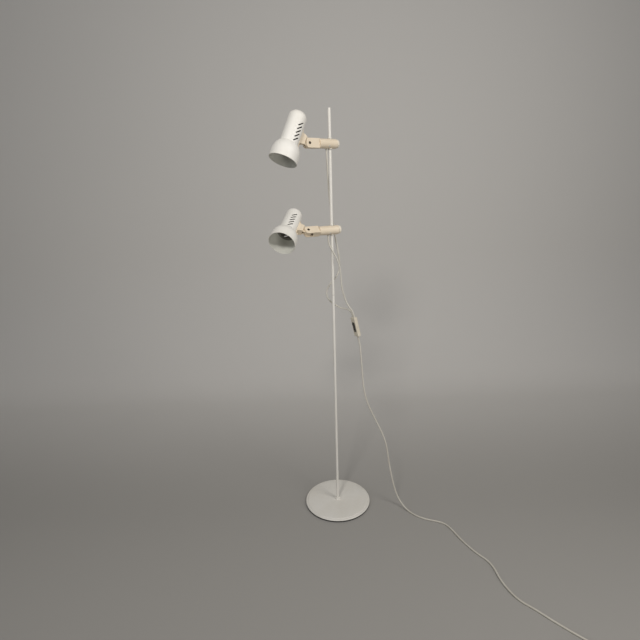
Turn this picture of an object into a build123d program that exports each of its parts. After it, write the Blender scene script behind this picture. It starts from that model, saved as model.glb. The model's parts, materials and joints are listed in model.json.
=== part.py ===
"""Two-spot adjustable floor lamp: round weighted base, two-piece pole, two clamped arms with
tilting spot heads, an in-line rocker switch and the cords.  Millimetres, +Z up, origin at the
centre of the underside of the base, +X to the right and +Y to the back of the lamp."""

from build123d import *
import math
import os

os.makedirs("parts", exist_ok=True)

# ---------------------------------------------------------------- clearances
RUN = 0.1  # radial running clearance of a shaft or a spigot
SEAT = 0.05  # gap at pieces of one body that are pushed together

# ---------------------------------------------------------------- base
BASE_R = 130.0
BASE_TOP = 12.2
BASE_WALL = 1.2
BASE_EDGE = 4.0  # rounding of the outer edge
BASE_BAND = 9.0  # level band round the raised middle of the cover
PLATEAU_R = BASE_R - BASE_BAND
PLATEAU_STEP = 1.2
PAD_INSET = 8.0
PAD_R = BASE_R - PAD_INSET
PAD_T = 2.0
WEIGHT_GAP = 1.6  # between the weight's side and the cover's wall
NUT_POCKET_R = 14.0
NUT_POCKET_TOP = 9.2
NUT_AF = 10.0
NUT_H = 4.6
WASHER_R = 9.0
WASHER_T = 1.2
STUD_R = 3.0

# ---------------------------------------------------------------- pole
POLE_R = 5.0
POLE_WALL = 1.2
POLE_SEAM = 869.0
POLE_TOP = 1487.0
CAP_H = 3.0
CAP_STEM = 10.0
COLLAR_R = 11.0
COLLAR_H = 5.0
STUD_GRIP = 22.0  # length of the stud inside the pole
JOINT_GRIP = 30.0  # length of the joining spigot in each pole section

# ---------------------------------------------------------------- clamp barrel
BARREL_R = 15.5
BARREL_OUT = 50.0  # from the pole's axis to the fork
BARREL_BACK = 22.5  # from the pole's axis to the knob end
BUSH_WALL = 2.45
BUSH_LIP = 1.1
BUSH_LIP_H = 1.5
BUSH_SLIT = 1.2
SPIGOT_R = 10.9
SPIGOT_LEN = 23.0
CABLE_BORE = 5.5
CAVITY_R = 9.0
CAVITY_WALL = 2.8  # between the bush bore and the cable cavity
SHOE_R = 4.9
SHOE_LEN = 5.1
SHOE_TRAVEL = 1.5
SCREW_R = 3.0
SCREW_TIP_R = 2.0
SCREW_TIP_LEN = 2.2
KNOB_R = 13.8
KNOB_LEN = 8.0
KNOB_GAP = 1.2
KNOB_FLUTES = 12
FLUTE_R = 2.4
FLUTE_DEPTH = 0.7
GROOVE_X = 36.0
GUIDE_PIN_R = 1.5
GUIDE_PIN_GAP = 0.3
GUIDE_PIN_REACH = 1.9  # how far the guide pin stands into the spigot's groove
EXIT_X = 14.5  # cord outlet, from the pole's axis
GROMMET_R = 4.0
GROMMET_DROP = 4.0
CORD_SCREW_X = 12.0
CORD_SCREW_ANGLE = 33.0  # below the horizontal, on the side of the tilt screw's head
CORD_SCREW_R = 3.3

# ---------------------------------------------------------------- fork
FORK_W = 22.0
FORK_H = 30.0
FORK_END = 12.5  # past the tilt axis
FORK_EDGE = 1.2
FORK_NOSE = 10.0
FORK_ROOF = 4.5
PIVOT_X = 91.0  # tilt axis, from the pole's axis
TONGUE_W = 12.0
WASHER_GAP = 0.1
FRICTION_WASHER_T = 0.6
FRICTION_WASHER_R = 7.5
PIVOT_R = 2.5
PIVOT_HEAD_R = 4.3
PIVOT_HEAD_H = 2.6
PIVOT_HEAD_SUNK = 1.5
PIVOT_NUT_AF = 8.0
PIVOT_NUT_H = 3.0
ROOF_END = 17.0  # the fork's roof stops this far before the tilt axis
FORK_WALL = 1.3  # end wall of the channel between the cheeks

# ---------------------------------------------------------------- spot head
HEAD_AXIS = 64.4  # shade axis, from the tilt axis
MOUTH_X = 96.0  # mouth, from the tilt axis along the shade
SHADE_LEN = 164.0
SHADE_R = 29.0
SHADE_WALL = 1.0
SHADE_CROWN = 1.8
SHADE_CORNER = 21.0
BELL_LEN = 57.5
BELL_R = 45.3
BELL_STEP = 2.3  # crisp shoulder where the bell meets the neck
BELL_FLARE = 0.4
BELL_STRAIGHT = 22.0
RIM_BEAD = 1.3
SLOT_COUNT = 5
SLOT_PITCH = 12.4
SLOT_OFFSET = 70.0  # middle of the first slot, from the mouth
SLOT_LEN = 22.0
SLOT_W = 3.6
SLOT_SLANT = 45.0  # degrees, towards the mouth on the side away from the arm
SLOT_DROP = 2.7  # middle of each slot, from the shade's axis towards the arm
TONGUE_R = 13.0
KNUCKLE_W = 22.0
KNUCKLE_BASE = 17.0
KNUCKLE_WALL = 3.5
POCKET_ROOF = 0.8  # between the hollow shoulder and the saddle
TONGUE_POCKET_W = 6.4
TONGUE_POCKET_Z = 8.0  # bottom of the tongue's hollow, from the tilt axis
SADDLE_T = 2.5
SADDLE_GAP = 0.2
SADDLE_BACK = 24.0
SADDLE_FRONT = 35.0
SADDLE_CORNER = 4.0
SADDLE_SCREWS = (-10.5, 28.0)
SADDLE_SCREW_R = 1.5
WIRE_HOLE_X = 8.0
WIRE_HOLE_R = 3.5
HOLDER_R = 19.5
HOLDER_ROOM = 10.0  # from the shade's closed end to the lampholder's back
HOLDER_LEN = 50.0
HOLDER_BACK = SHADE_LEN - MOUTH_X - HOLDER_ROOM  # behind the tilt axis
HOLDER_FRONT = HOLDER_BACK - HOLDER_LEN
HOLDER_SOCKET_R = 14.2
HOLDER_SOCKET_LEN = 38.0
HOLDER_FLANGE = 2.0
SHELL_R = 13.3  # bore of the lamp thread shell
SHELL_T = 0.7
SHELL_LEN = 28.0
BRACKET_T = 1.4
BRACKET_W = 14.0
BRACKET_BAND = 10.0
BRACKET_BACK = HOLDER_BACK - 18.0
BRACKET_TOE = 6.5  # foot past its screw

# ---------------------------------------------------------------- lamps on the pole
# height on the pole, turn about the pole, turn of the fork about the arm, tilt of the head
LAMPS = {
    "upper": (1380.0, 38.1, 3.4, 61.6),
    "lower": (1099.5, 25.1, 48.4, 54.7),
}
DRIVER_SLOT = {"upper": 0.0, "lower": 50.0}  # how the tilt screw's slot happens to stand

# ---------------------------------------------------------------- switch, plug and cords
CORD_D = 5.5
MAINS_D = 6.0
SWITCH_AT = (80.0, 0.0, 747.0)
SWITCH_LEAN = -12.0
SWITCH_TURN = 210.0
SWITCH_L = 73.0
SWITCH_W = 26.0
SWITCH_T = 14.0
SWITCH_WALL = 1.6
SWITCH_EDGE = 3.0
ROCKER_L = 28.0
ROCKER_W = 11.0
ROCKER_GAP = 0.4
ROCKER_END_GAP = 0.9
ROCKER_PIVOT = 2.6  # pivot height above the parting plane
ROCKER_PIN_R = 1.0
ROCKER_TILT = 7.0
TERMINAL_L = 9.0
TERMINAL_W = 5.0
TERMINAL_H = 6.5
TERMINAL_Y = 6.6
TERMINAL_Z = 27.5
GLAND_R = 3.7
GLAND_L = 4.0
CORD_SPACING = 4.5
CORD_STRAIGHT = 20.0
RELIEF_L = 20.0
RELIEF_R = 4.2
COIL_AT = (677.0, -695.7)
COIL_MID_R = 33.0
COIL_H = 12.3
FLOOR_GAP = 0.2
PLUG_W = 35.0
PLUG_T = 14.0
PLUG_L = 36.0
PLUG_RELIEF = 26.0
PLUG_LEAD = 17.0  # from the coil's middle to the relief
PIN_R = 2.0
PIN_L = 19.0
PIN_SPACING = 18.4


# ---------------------------------------------------------------- helpers
def rod(radius, start, end, axis="X"):
    """Cylinder from start to end along one axis through the origin."""
    turn = {"X": Rot(0, 90, 0), "Y": Rot(-90, 0, 0), "Z": Rot(0, 0, 0)}[axis]
    return turn * Pos(0, 0, start) * Cylinder(radius, end - start, align=(Align.CENTER, Align.CENTER, Align.MIN))


def tube(outer, inner, start, end, axis="X"):
    return rod(outer, start, end, axis) - rod(inner, start - 1, end + 1, axis)


def block(x0, x1, y0, y1, z0, z1):
    return Pos((x0 + x1) / 2, (y0 + y1) / 2, (z0 + z1) / 2) * Box(x1 - x0, y1 - y0, z1 - z0)


def hexagon(across_flats, height):
    radius = across_flats / math.sqrt(3)
    return extrude(RegularPolygon(radius, 6), height)


def clamp_place(lamp):
    height, turn, _, _ = LAMPS[lamp]
    return Pos(0, 0, height) * Rot(0, 0, 180 + turn)


def fork_place(lamp):
    return clamp_place(lamp) * Rot(LAMPS[lamp][2], 0, 0)


def head_place(lamp):
    return fork_place(lamp) * Pos(PIVOT_X, 0, 0) * Rot(0, LAMPS[lamp][3], 0)


def save(shape, node, place=None):
    """Write one node; a list becomes a group of separate solids."""
    solids = shape if isinstance(shape, list) else [shape]
    if place is not None:
        solids = [place * solid for solid in solids]
    shape = solids[0] if len(solids) == 1 else Compound(children=solids)
    export_step(shape, f"parts/{node}.step")


# ---------------------------------------------------------------- base and pole
def base_cover():
    """Spun steel dish with a low plateau and a rounded outer edge."""
    band = BASE_TOP - PLATEAU_STEP

    def dish(inset):
        outline = Polyline(
            (0, PAD_T + BASE_WALL / 4 - inset), (BASE_R - inset, PAD_T + BASE_WALL / 4 - inset),
            (BASE_R - inset, band - inset), (PLATEAU_R + PLATEAU_STEP - inset, band - inset),
            (PLATEAU_R - inset, BASE_TOP - inset), (0, BASE_TOP - inset), close=True)
        face = make_face(Plane.XZ * outline)
        corner = face.vertices().sort_by(Axis.X)[-2:].sort_by(Axis.Z)[-1]
        return revolve(fillet(corner, BASE_EDGE - inset), Axis.Z)

    return dish(0) - dish(BASE_WALL) - rod(STUD_R + SEAT, 0, BASE_TOP + 1, "Z")


def base_weight():
    """Cast iron disc that fills the cover, with a pocket for the pole's nut."""
    under_band = BASE_TOP - PLATEAU_STEP - BASE_WALL
    radius = BASE_R - BASE_WALL - WEIGHT_GAP
    disc = rod(radius, PAD_T, under_band, "Z")
    disc = chamfer(disc.edges().group_by(Axis.Z)[-1], WEIGHT_GAP)
    disc += rod(PLATEAU_R - BASE_WALL - WEIGHT_GAP, PAD_T, BASE_TOP - BASE_WALL, "Z")
    return disc - rod(NUT_POCKET_R, 0, NUT_POCKET_TOP, "Z") - rod(STUD_R + SEAT, 0, BASE_TOP, "Z")


def base_pad():
    return rod(PAD_R, 0, PAD_T, "Z")


def pole_washer():
    return tube(WASHER_R, STUD_R + SEAT, NUT_POCKET_TOP - WASHER_T, NUT_POCKET_TOP, "Z")


def pole_nut():
    top = NUT_POCKET_TOP - WASHER_T
    nut = Pos(0, 0, top - NUT_H) * hexagon(NUT_AF, NUT_H)
    return nut - rod(STUD_R + SEAT, 0, top + 1, "Z")


def pole_stud():
    """Turned stud: threaded end through the base, plain end pressed into the pole."""
    thread_end = NUT_POCKET_TOP - WASHER_T - NUT_H
    grip_r = POLE_R - POLE_WALL - SEAT
    plain = rod(grip_r, BASE_TOP, BASE_TOP + STUD_GRIP, "Z")
    return rod(STUD_R, thread_end, BASE_TOP, "Z") + chamfer(plain.edges().group_by(Axis.Z)[-1], 0.8)


def pole_collar():
    ring = tube(COLLAR_R, POLE_R + SEAT, BASE_TOP, BASE_TOP + COLLAR_H, "Z")
    top = ring.edges().group_by(Axis.Z)[-1].sort_by(SortBy.RADIUS)[-1]
    return fillet(top, COLLAR_H * 0.6)


def pole_section(start, end):
    pipe = tube(POLE_R, POLE_R - POLE_WALL, start, end, "Z")
    rims = [rim for rim in pipe.edges().filter_by(GeomType.CIRCLE) if rim.radius > POLE_R - POLE_WALL / 2]
    return chamfer(rims, 0.3)


def pole_joint():
    grip_r = POLE_R - POLE_WALL - SEAT
    spigot = rod(grip_r, POLE_SEAM - JOINT_GRIP, POLE_SEAM + JOINT_GRIP, "Z")
    return chamfer(spigot.edges().filter_by(GeomType.CIRCLE), 0.8)


def pole_cap():
    stem = rod(POLE_R - POLE_WALL - SEAT, POLE_TOP - CAP_STEM, POLE_TOP, "Z")
    button = rod(POLE_R, POLE_TOP, POLE_TOP + CAP_H, "Z")
    return stem + fillet(button.edges().group_by(Axis.Z)[-1], CAP_H * 0.8)


# ---------------------------------------------------------------- clamp (x along the arm)
def clamp_bush():
    """Split plastic liner that slides on the pole; its lips carry the barrel."""
    outer = POLE_R + RUN / 2 + BUSH_WALL
    half = BARREL_R + RUN
    sleeve = rod(outer, -half - BUSH_LIP_H, half + BUSH_LIP_H, "Z")
    for end in (-half - BUSH_LIP_H, half):
        sleeve += rod(outer + BUSH_LIP, end, end + BUSH_LIP_H, "Z")
    sleeve -= rod(POLE_R + RUN / 2, -50, 50, "Z")
    return sleeve - block(-BUSH_SLIT / 2, BUSH_SLIT / 2, -50, 0, -50, 50)


def bush_bore():
    return POLE_R + RUN / 2 + BUSH_WALL + RUN


def shoe_back():
    """Where the shoe's flat back face lies, on the knob's side of the pole."""
    return -(bush_bore() + SHOE_LEN)


def clamp_barrel():
    """Round arm housing: bush bore, cable cavity, fork socket, shoe guide and tapped end wall."""
    body = rod(BARREL_R, -BARREL_BACK, BARREL_OUT)
    body = fillet(body.edges().filter_by(GeomType.CIRCLE), 0.8)
    body -= rod(bush_bore(), -50, 50, "Z")
    body -= rod(SPIGOT_R + RUN, BARREL_OUT - SPIGOT_LEN - 1, BARREL_OUT + 1)
    body -= rod(CAVITY_R, bush_bore() + CAVITY_WALL, BARREL_OUT)
    body -= rod(SHOE_R + RUN, shoe_back() - SHOE_TRAVEL - 0.2, 0)
    body -= rod(SCREW_R + RUN, -50, 0)
    body -= Pos(EXIT_X, 0, 0) * rod(GROMMET_R + SEAT, -50, 0, "Z")
    body -= Pos(GROOVE_X, 0, 0) * rod(GUIDE_PIN_R + SEAT, -50, 0, "Y")
    return body - cord_screw_seat() * cord_screw_hole()


def cord_screw_seat():
    """Frame on the barrel's skin, its z pointing out of the cord screw's head."""
    return Pos(CORD_SCREW_X, 0, 0) * Rot(-90 - CORD_SCREW_ANGLE, 0, 0) * Pos(0, 0, BARREL_R)


def cord_screw_hole():
    return rod(CORD_SCREW_R + SEAT, -1.4, 5, "Z") + rod(SADDLE_SCREW_R + SEAT, -7, 0, "Z")


def cord_screw():
    """Small screw that grips the cord inside the barrel."""
    head = rod(CORD_SCREW_R, -1.4, 0.4, "Z")
    head = fillet(head.edges().group_by(Axis.Z)[-1], 0.5)
    head -= block(-0.5, 0.5, -5, 5, -0.5, 1)
    return head + rod(SADDLE_SCREW_R, -6.5, -1.4, "Z")


def clamp_shoe():
    shoe = rod(SHOE_R, shoe_back(), 0) - rod(bush_bore(), -50, 50, "Z")
    shoe = shoe.solids().sort_by(Axis.X)[0]
    return shoe - rod(SCREW_TIP_R + RUN, shoe_back() - 1, shoe_back() + SCREW_TIP_LEN + 0.3)


def clamp_screw():
    shoulder = shoe_back() - RUN
    knob_face = -BARREL_BACK - KNOB_GAP
    shank = rod(SCREW_R, knob_face - KNOB_LEN * 0.7, shoulder)
    return shank + rod(SCREW_TIP_R, shoulder, shoulder + SCREW_TIP_LEN)


def clamp_knob():
    """Round end knob with shallow finger flutes."""
    inner_face = -BARREL_BACK - KNOB_GAP
    knob = rod(KNOB_R, inner_face - KNOB_LEN, inner_face)
    knob = fillet(knob.edges().sort_by(Axis.X)[0], 2.5)
    knob = fillet(knob.edges().filter_by(GeomType.CIRCLE).sort_by(Axis.X)[-1], 0.6)
    for flute in range(KNOB_FLUTES):
        groove = Pos(0, KNOB_R + FLUTE_R - FLUTE_DEPTH, 0) * rod(FLUTE_R, inner_face - KNOB_LEN - 1, inner_face + 1)
        knob -= Rot(360 / KNOB_FLUTES * flute, 0, 0) * groove
    return knob - rod(SCREW_R + SEAT, inner_face - KNOB_LEN * 0.7 - SEAT, inner_face + 1)


def cord_grommet():
    """Rubber sleeve that the cord leaves the barrel through, tapered below it."""
    sleeve = rod(GROMMET_R, -BARREL_R - SEAT, -CAVITY_R - 1, "Z")
    skirt_top = -BARREL_R - SEAT
    skirt = Pos(0, 0, skirt_top) * Rot(180, 0, 0) * Cone(
        GROMMET_R + 0.6, CORD_D / 2 + 0.9, GROMMET_DROP - SEAT, align=(Align.CENTER, Align.CENTER, Align.MIN))
    return Pos(EXIT_X, 0, 0) * (sleeve + skirt)


def guide_pin():
    return Pos(GROOVE_X, 0, 0) * rod(GUIDE_PIN_R, -BARREL_R + 0.4, -SPIGOT_R + GUIDE_PIN_REACH, "Y")


# ---------------------------------------------------------------- fork (x along the arm)
def channel_half():
    """Half the gap between the cheeks: tongue, friction washers and their clearance."""
    return TONGUE_W / 2 + FRICTION_WASHER_T + 2 * WASHER_GAP


def fork():
    """Spigot that turns in the barrel, and two cheeks with an open underside."""
    start = BARREL_OUT + 0.3
    end = PIVOT_X + FORK_END
    body = block(start, end, -FORK_W / 2, FORK_W / 2, -FORK_H / 2, FORK_H / 2)
    body = fillet(body.edges().filter_by(Axis.Y).group_by(Axis.X)[-1], FORK_NOSE)
    body = fillet(body.edges().group_by(Axis.Y)[0] + body.edges().group_by(Axis.Y)[-1], FORK_EDGE)
    body += rod(SPIGOT_R, BARREL_OUT - SPIGOT_LEN, start)
    groove = GUIDE_PIN_R + GUIDE_PIN_GAP
    floor_r = SPIGOT_R - GUIDE_PIN_REACH - GUIDE_PIN_GAP
    body -= tube(SPIGOT_R + 1, floor_r, GROOVE_X - groove, GROOVE_X + groove)
    half = channel_half()
    body -= rod(CABLE_BORE, 0, PIVOT_X - ROOF_END)
    body -= block(start + FORK_WALL, end + 1, -half, half, -FORK_H, FORK_H / 2 - FORK_ROOF)
    body -= block(PIVOT_X - ROOF_END, end + 1, -half, half, -FORK_H, FORK_H)
    pivot = rod(PIVOT_R + SEAT, -FORK_W, FORK_W, "Y")
    pivot += rod(PIVOT_HEAD_R + 0.2, FORK_W / 2 - PIVOT_HEAD_SUNK, FORK_W, "Y")
    nut_room = Rot(90, 0, 0) * Pos(0, 0, FORK_W / 2 - PIVOT_NUT_H) * hexagon(PIVOT_NUT_AF + 0.2, FORK_W)
    return body - Pos(PIVOT_X, 0, 0) * (pivot + nut_room)


def pivot_screw(slot_turn):
    """Slotted screw on the tilt axis, its head in the cheek that faces +y."""
    seat = FORK_W / 2 - PIVOT_HEAD_SUNK
    head = rod(PIVOT_HEAD_R, seat, seat + PIVOT_HEAD_H, "Y")
    head = fillet(head.edges().filter_by(GeomType.CIRCLE).sort_by(Axis.Y)[-1], 1.0)
    head -= Rot(0, slot_turn, 0) * block(-0.6, 0.6, seat + PIVOT_HEAD_H - 1.2, 30, -9, 9)
    return Pos(PIVOT_X, 0, 0) * (head + rod(PIVOT_R, -FORK_W / 2 + 0.4, seat, "Y"))


def pivot_nut():
    nut = Rot(90, 0, 0) * Pos(0, 0, FORK_W / 2 - PIVOT_NUT_H) * hexagon(PIVOT_NUT_AF, PIVOT_NUT_H - 0.2)
    return Pos(PIVOT_X, 0, 0) * (nut - rod(PIVOT_R + SEAT, -FORK_W, 0, "Y"))


def friction_washers():
    inner = TONGUE_W / 2 + WASHER_GAP
    outer = inner + FRICTION_WASHER_T
    pair = []
    for low, high in ((inner, outer), (-outer, -inner)):
        pair.append(Pos(PIVOT_X, 0, 0) * tube(FRICTION_WASHER_R, PIVOT_R + SEAT, low, high, "Y"))
    return pair


# ---------------------------------------------------------------- head (x along the shade)
def about_shade(shape):
    return Pos(0, 0, HEAD_AXIS) * shape


def shade_body(inset):
    """Turned outline: crowned closed end, straight neck and a bell that opens to the mouth."""
    back = MOUTH_X - SHADE_LEN + inset
    neck = SHADE_R - inset
    bell_start = MOUTH_X - BELL_LEN
    straight_start = MOUTH_X - BELL_STRAIGHT
    bell = BELL_R - inset
    shoulder = neck + BELL_STEP
    rise = bell - shoulder
    run = straight_start - bell_start
    bell_curve = (run * run + rise * rise) / (2 * rise)  # arc that ends level with the straight
    mid_x = straight_start - run / 2
    mid_r = bell - bell_curve + math.sqrt(bell_curve**2 - (run / 2) ** 2)
    mouth = MOUTH_X + (1 if inset else -RIM_BEAD)
    lines = [
        Line((back, 0), (back + SHADE_CROWN, neck)),
        Line((back + SHADE_CROWN, neck), (bell_start - BELL_STEP / 4, neck)),
        Line((bell_start - BELL_STEP / 4, neck), (bell_start, shoulder)),
        ThreePointArc((bell_start, shoulder), (mid_x, mid_r), (straight_start, bell)),
        Line((straight_start, bell), (mouth, bell + BELL_FLARE)),
        Line((mouth, bell + BELL_FLARE), (mouth, 0)),
        Line((mouth, 0), (back, 0)),
    ]
    face = make_face(Plane.XZ * (Curve() + lines))
    corner = face.vertices().group_by(Axis.X)[1].sort_by(Axis.Z)[-1]
    return revolve(fillet(corner, SHADE_CORNER - inset), Axis.X)


def shade():
    """Spun shade with a rolled rim, five slanted vent slots on each side and its fixing holes."""
    shell = shade_body(0) - shade_body(SHADE_WALL)
    rim = Plane.XZ * Pos(MOUTH_X - RIM_BEAD, BELL_R + BELL_FLARE - SHADE_WALL / 2) * Circle(RIM_BEAD)
    shell += revolve(rim, Axis.X)
    slot = Rot(90, 0, 0) * Rot(0, 0, 90 - SLOT_SLANT) * SlotOverall(SLOT_LEN, SLOT_W)
    cutter = extrude(slot, SHADE_R * 2, both=True)
    for index in range(SLOT_COUNT):
        shell -= Pos(MOUTH_X - SLOT_OFFSET - index * SLOT_PITCH, 0, -SLOT_DROP) * cutter
    for place in SADDLE_SCREWS:
        shell -= Pos(place, 0, 0) * rod(SADDLE_SCREW_R + SEAT, -SHADE_R * 2, 0, "Z")
    shell -= Pos(WIRE_HOLE_X, 0, 0) * rod(WIRE_HOLE_R, -SHADE_R * 2, 0, "Z")
    return about_shade(shell)


def knuckle():
    """Moulded link: tongue on the tilt axis, hollow shoulder and a saddle that fits the shade."""
    saddle_r = SHADE_R + SADDLE_GAP
    plate_r = saddle_r + SADDLE_T
    plate = about_shade(tube(plate_r, saddle_r, -SADDLE_BACK, SADDLE_FRONT))
    plate &= block(-SADDLE_BACK, SADDLE_FRONT, -KNUCKLE_W / 2, KNUCKLE_W / 2, 0, HEAD_AXIS - SHADE_R / 2)
    plate = fillet(plate.edges().filter_by(Axis.Z), SADDLE_CORNER)
    side = Polyline((-13, KNUCKLE_BASE), (15, KNUCKLE_BASE), (20.5, HEAD_AXIS - SHADE_R),
                    (-15, HEAD_AXIS - SHADE_R), close=True)
    shoulder = extrude(make_face(Plane.XZ * side), KNUCKLE_W / 2, both=True)
    shoulder = fillet(shoulder.edges().filter_by(Axis.Y).group_by(Axis.Z)[0], 3.0)
    top_of_pocket = HEAD_AXIS - plate_r - POCKET_ROOF
    inner = KNUCKLE_W / 2 - KNUCKLE_WALL
    shoulder -= block(-7, 40, -inner, inner, KNUCKLE_BASE + 2.5, top_of_pocket)
    tongue = rod(TONGUE_R, -TONGUE_W / 2, TONGUE_W / 2, "Y")
    tongue += block(-TONGUE_R, TONGUE_R, -TONGUE_W / 2, TONGUE_W / 2, 0, KNUCKLE_BASE + 1)
    body = tongue + shoulder + plate
    half = TONGUE_POCKET_W / 2
    body -= block(-1, TONGUE_R * 2, -half, half, TONGUE_POCKET_Z, top_of_pocket)
    body += Pos(SADDLE_SCREWS[1], 0, 0) * rod(3.5, top_of_pocket - 3.5, top_of_pocket + 1, "Z")
    body -= about_shade(rod(saddle_r, -SHADE_LEN, SHADE_LEN))
    body -= rod(PIVOT_R + RUN, -20, 20, "Y")
    for place in SADDLE_SCREWS:
        body -= Pos(place, 0, 0) * rod(SADDLE_SCREW_R + SEAT, top_of_pocket - 8, HEAD_AXIS, "Z")
    return body - Pos(WIRE_HOLE_X, 0, 0) * rod(WIRE_HOLE_R, top_of_pocket - 1, HEAD_AXIS, "Z")


def saddle_screws():
    """Two screws driven from inside the shade: one through the bracket's foot, one on the wall."""
    wall = SHADE_R - SHADE_WALL
    seats = (wall - BRACKET_T - 5 * SEAT, wall - 4 * SEAT)
    depth = SHADE_R + SADDLE_GAP + SADDLE_T
    ends = (depth + 7.5, depth + 3.0)
    screws = []
    for place, seat, end in zip(SADDLE_SCREWS, seats, ends):
        screw = rod(SADDLE_SCREW_R, -end, -seat, "Z") + rod(2.8, -seat, -seat + 1.8, "Z")
        screws.append(about_shade(Pos(place, 0, 0) * screw))
    return screws


def lamp_holder():
    """Moulded lampholder with a stepped skirt and a domed back."""
    body = rod(HOLDER_R, -HOLDER_BACK, -HOLDER_FRONT)
    body = fillet(body.edges().filter_by(GeomType.CIRCLE).sort_by(Axis.X)[0], 8.0)
    body += rod(HOLDER_R + HOLDER_FLANGE, -HOLDER_FRONT - 5, -HOLDER_FRONT)
    body -= rod(HOLDER_SOCKET_R, -HOLDER_FRONT - HOLDER_SOCKET_LEN, -HOLDER_FRONT + 1)
    return about_shade(body)


def lamp_contacts():
    """Threaded shell and the centre tongue of the lampholder."""
    bottom = -HOLDER_FRONT - HOLDER_SOCKET_LEN
    shell = tube(SHELL_R + SHELL_T, SHELL_R, bottom + 4, bottom + 4 + SHELL_LEN)
    tongue = rod(4.0, bottom, bottom + 2.5)
    return [about_shade(shell), about_shade(tongue)]


def holder_bracket():
    """Steel band round the lampholder on a foot that is screwed to the saddle."""
    wall = SHADE_R - SHADE_WALL - SEAT
    inner = HOLDER_R + SEAT
    band = tube(inner + BRACKET_T, inner, -BRACKET_BACK, -BRACKET_BACK + BRACKET_BAND)
    foot = tube(wall, wall - BRACKET_T, -BRACKET_BACK, SADDLE_SCREWS[0] + BRACKET_TOE)
    foot &= block(-BRACKET_BACK, SHADE_R, -BRACKET_W / 2, BRACKET_W / 2, -SHADE_R, 0)
    web = block(-BRACKET_BACK, -BRACKET_BACK + BRACKET_T, -BRACKET_W / 2, BRACKET_W / 2, -SHADE_R, -inner)
    web &= rod(wall, -SHADE_LEN, 0)
    web -= rod(inner, -SHADE_LEN, 0)
    body = band + foot + web
    return about_shade(body - Pos(SADDLE_SCREWS[0], 0, 0) * rod(SADDLE_SCREW_R + SEAT, -SHADE_R, 0, "Z"))


# ---------------------------------------------------------------- in-line switch (z up, rocker on +x)
def switch_place():
    return Pos(*SWITCH_AT) * Rot(0, SWITCH_LEAN, 0) * Rot(0, 0, SWITCH_TURN)


def switch_shell():
    case = Box(SWITCH_T, SWITCH_W, SWITCH_L)
    case = fillet(case.edges().filter_by(Axis.Z), SWITCH_EDGE)
    case = fillet(case.edges().group_by(Axis.Z)[0] + case.edges().group_by(Axis.Z)[-1], SWITCH_EDGE / 2)
    return case - Box(SWITCH_T - 2 * SWITCH_WALL, SWITCH_W - 2 * SWITCH_WALL, SWITCH_L - 2 * SWITCH_WALL)


def switch_front():
    """Half case with the rocker's window and two lugs for its pin."""
    half = switch_shell() & block(SEAT, 20, -20, 20, -50, 50)
    lug_in = ROCKER_W / 2 + ROCKER_GAP
    for side in (-1, 1):
        low, high = sorted((side * lug_in, side * (lug_in + 2)))
        half += block(SEAT, SWITCH_T / 2 - SWITCH_WALL, low, high, -3, 3)
    window = block(0, 20, -lug_in, lug_in, -ROCKER_L / 2 - ROCKER_END_GAP, ROCKER_L / 2 + ROCKER_END_GAP)
    return half - window - Pos(ROCKER_PIVOT, 0, 0) * rod(ROCKER_PIN_R + SEAT, -20, 20, "Y")


def switch_back():
    half = switch_shell() & block(-20, 0, -20, 20, -50, 50)
    for place in (-SWITCH_L / 3, SWITCH_L / 3):
        half += Pos(0, 0, place) * rod(3.6, -SWITCH_T / 2 + 1, -1)
        half -= Pos(0, 0, place) * rod(1.5 + SEAT, -20, 20)
        half -= Pos(0, 0, place) * rod(2.8 + SEAT, -20, -SWITCH_T / 2 + 1.8)
    return half


def switch_screws():
    pair = []
    for place in (-SWITCH_L / 3, SWITCH_L / 3):
        screw = rod(2.8, -SWITCH_T / 2 + 0.1, -SWITCH_T / 2 + 1.7) + rod(1.5, -SWITCH_T / 2 + 1.7, -0.5)
        screw -= block(-SWITCH_T, -SWITCH_T / 2 + 0.8, -0.4, 0.4, -5, 5)
        pair.append(Pos(0, 0, place) * screw)
    return pair


def switch_rocker():
    """Two-winged button on a cross pin; its lower half is pressed in."""
    wing = ROCKER_L / 2
    top = SWITCH_T / 2 + 2.2
    outline = Polyline((1.0, -4), (4.2, -wing), (top - 0.8, -wing), (top - 1.6, 0), (top - 0.8, wing),
                       (4.2, wing), (1.0, 4), close=True)
    button = extrude(make_face(Plane.XZ * outline), ROCKER_W / 2, both=True)
    button = fillet(button.edges().filter_by(Axis.Y).group_by(Axis.X)[-1], 0.8)
    button -= Pos(ROCKER_PIVOT, 0, 0) * rod(ROCKER_PIN_R + RUN, -20, 20, "Y")
    return Pos(ROCKER_PIVOT, 0, 0) * Rot(0, ROCKER_TILT, 0) * Pos(-ROCKER_PIVOT, 0, 0) * button


def rocker_pin():
    return Pos(ROCKER_PIVOT, 0, 0) * rod(ROCKER_PIN_R, -ROCKER_W / 2 - 2, ROCKER_W / 2 + 2, "Y")


def switch_terminals():
    """Brass clamp blocks on the back shell's floor, beside its screw bosses."""
    floor = -SWITCH_T / 2 + SWITCH_WALL + SEAT
    blocks = []
    for place in (-TERMINAL_Z, TERMINAL_Z):
        for side in (-TERMINAL_Y, TERMINAL_Y):
            terminal = block(floor, floor + TERMINAL_H, -TERMINAL_W / 2, TERMINAL_W / 2, -TERMINAL_L / 2, TERMINAL_L / 2)
            blocks.append(Pos(0, side, place) * terminal)
    return blocks


def switch_glands():
    """Two short glands for the lamp leads on top and the tapered relief of the mains lead."""
    top = SWITCH_L / 2
    pieces = []
    for side in (-CORD_SPACING, CORD_SPACING):
        pieces.append(Pos(0, side, top) * rod(GLAND_R, 0, GLAND_L, "Z"))
    cone = Cone(RELIEF_R, MAINS_D / 2 + 0.5, RELIEF_L, align=(Align.CENTER, Align.CENTER, Align.MIN))
    pieces.append(Pos(0, 0, -top) * Rot(180, 0, 0) * cone)
    return pieces


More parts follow.
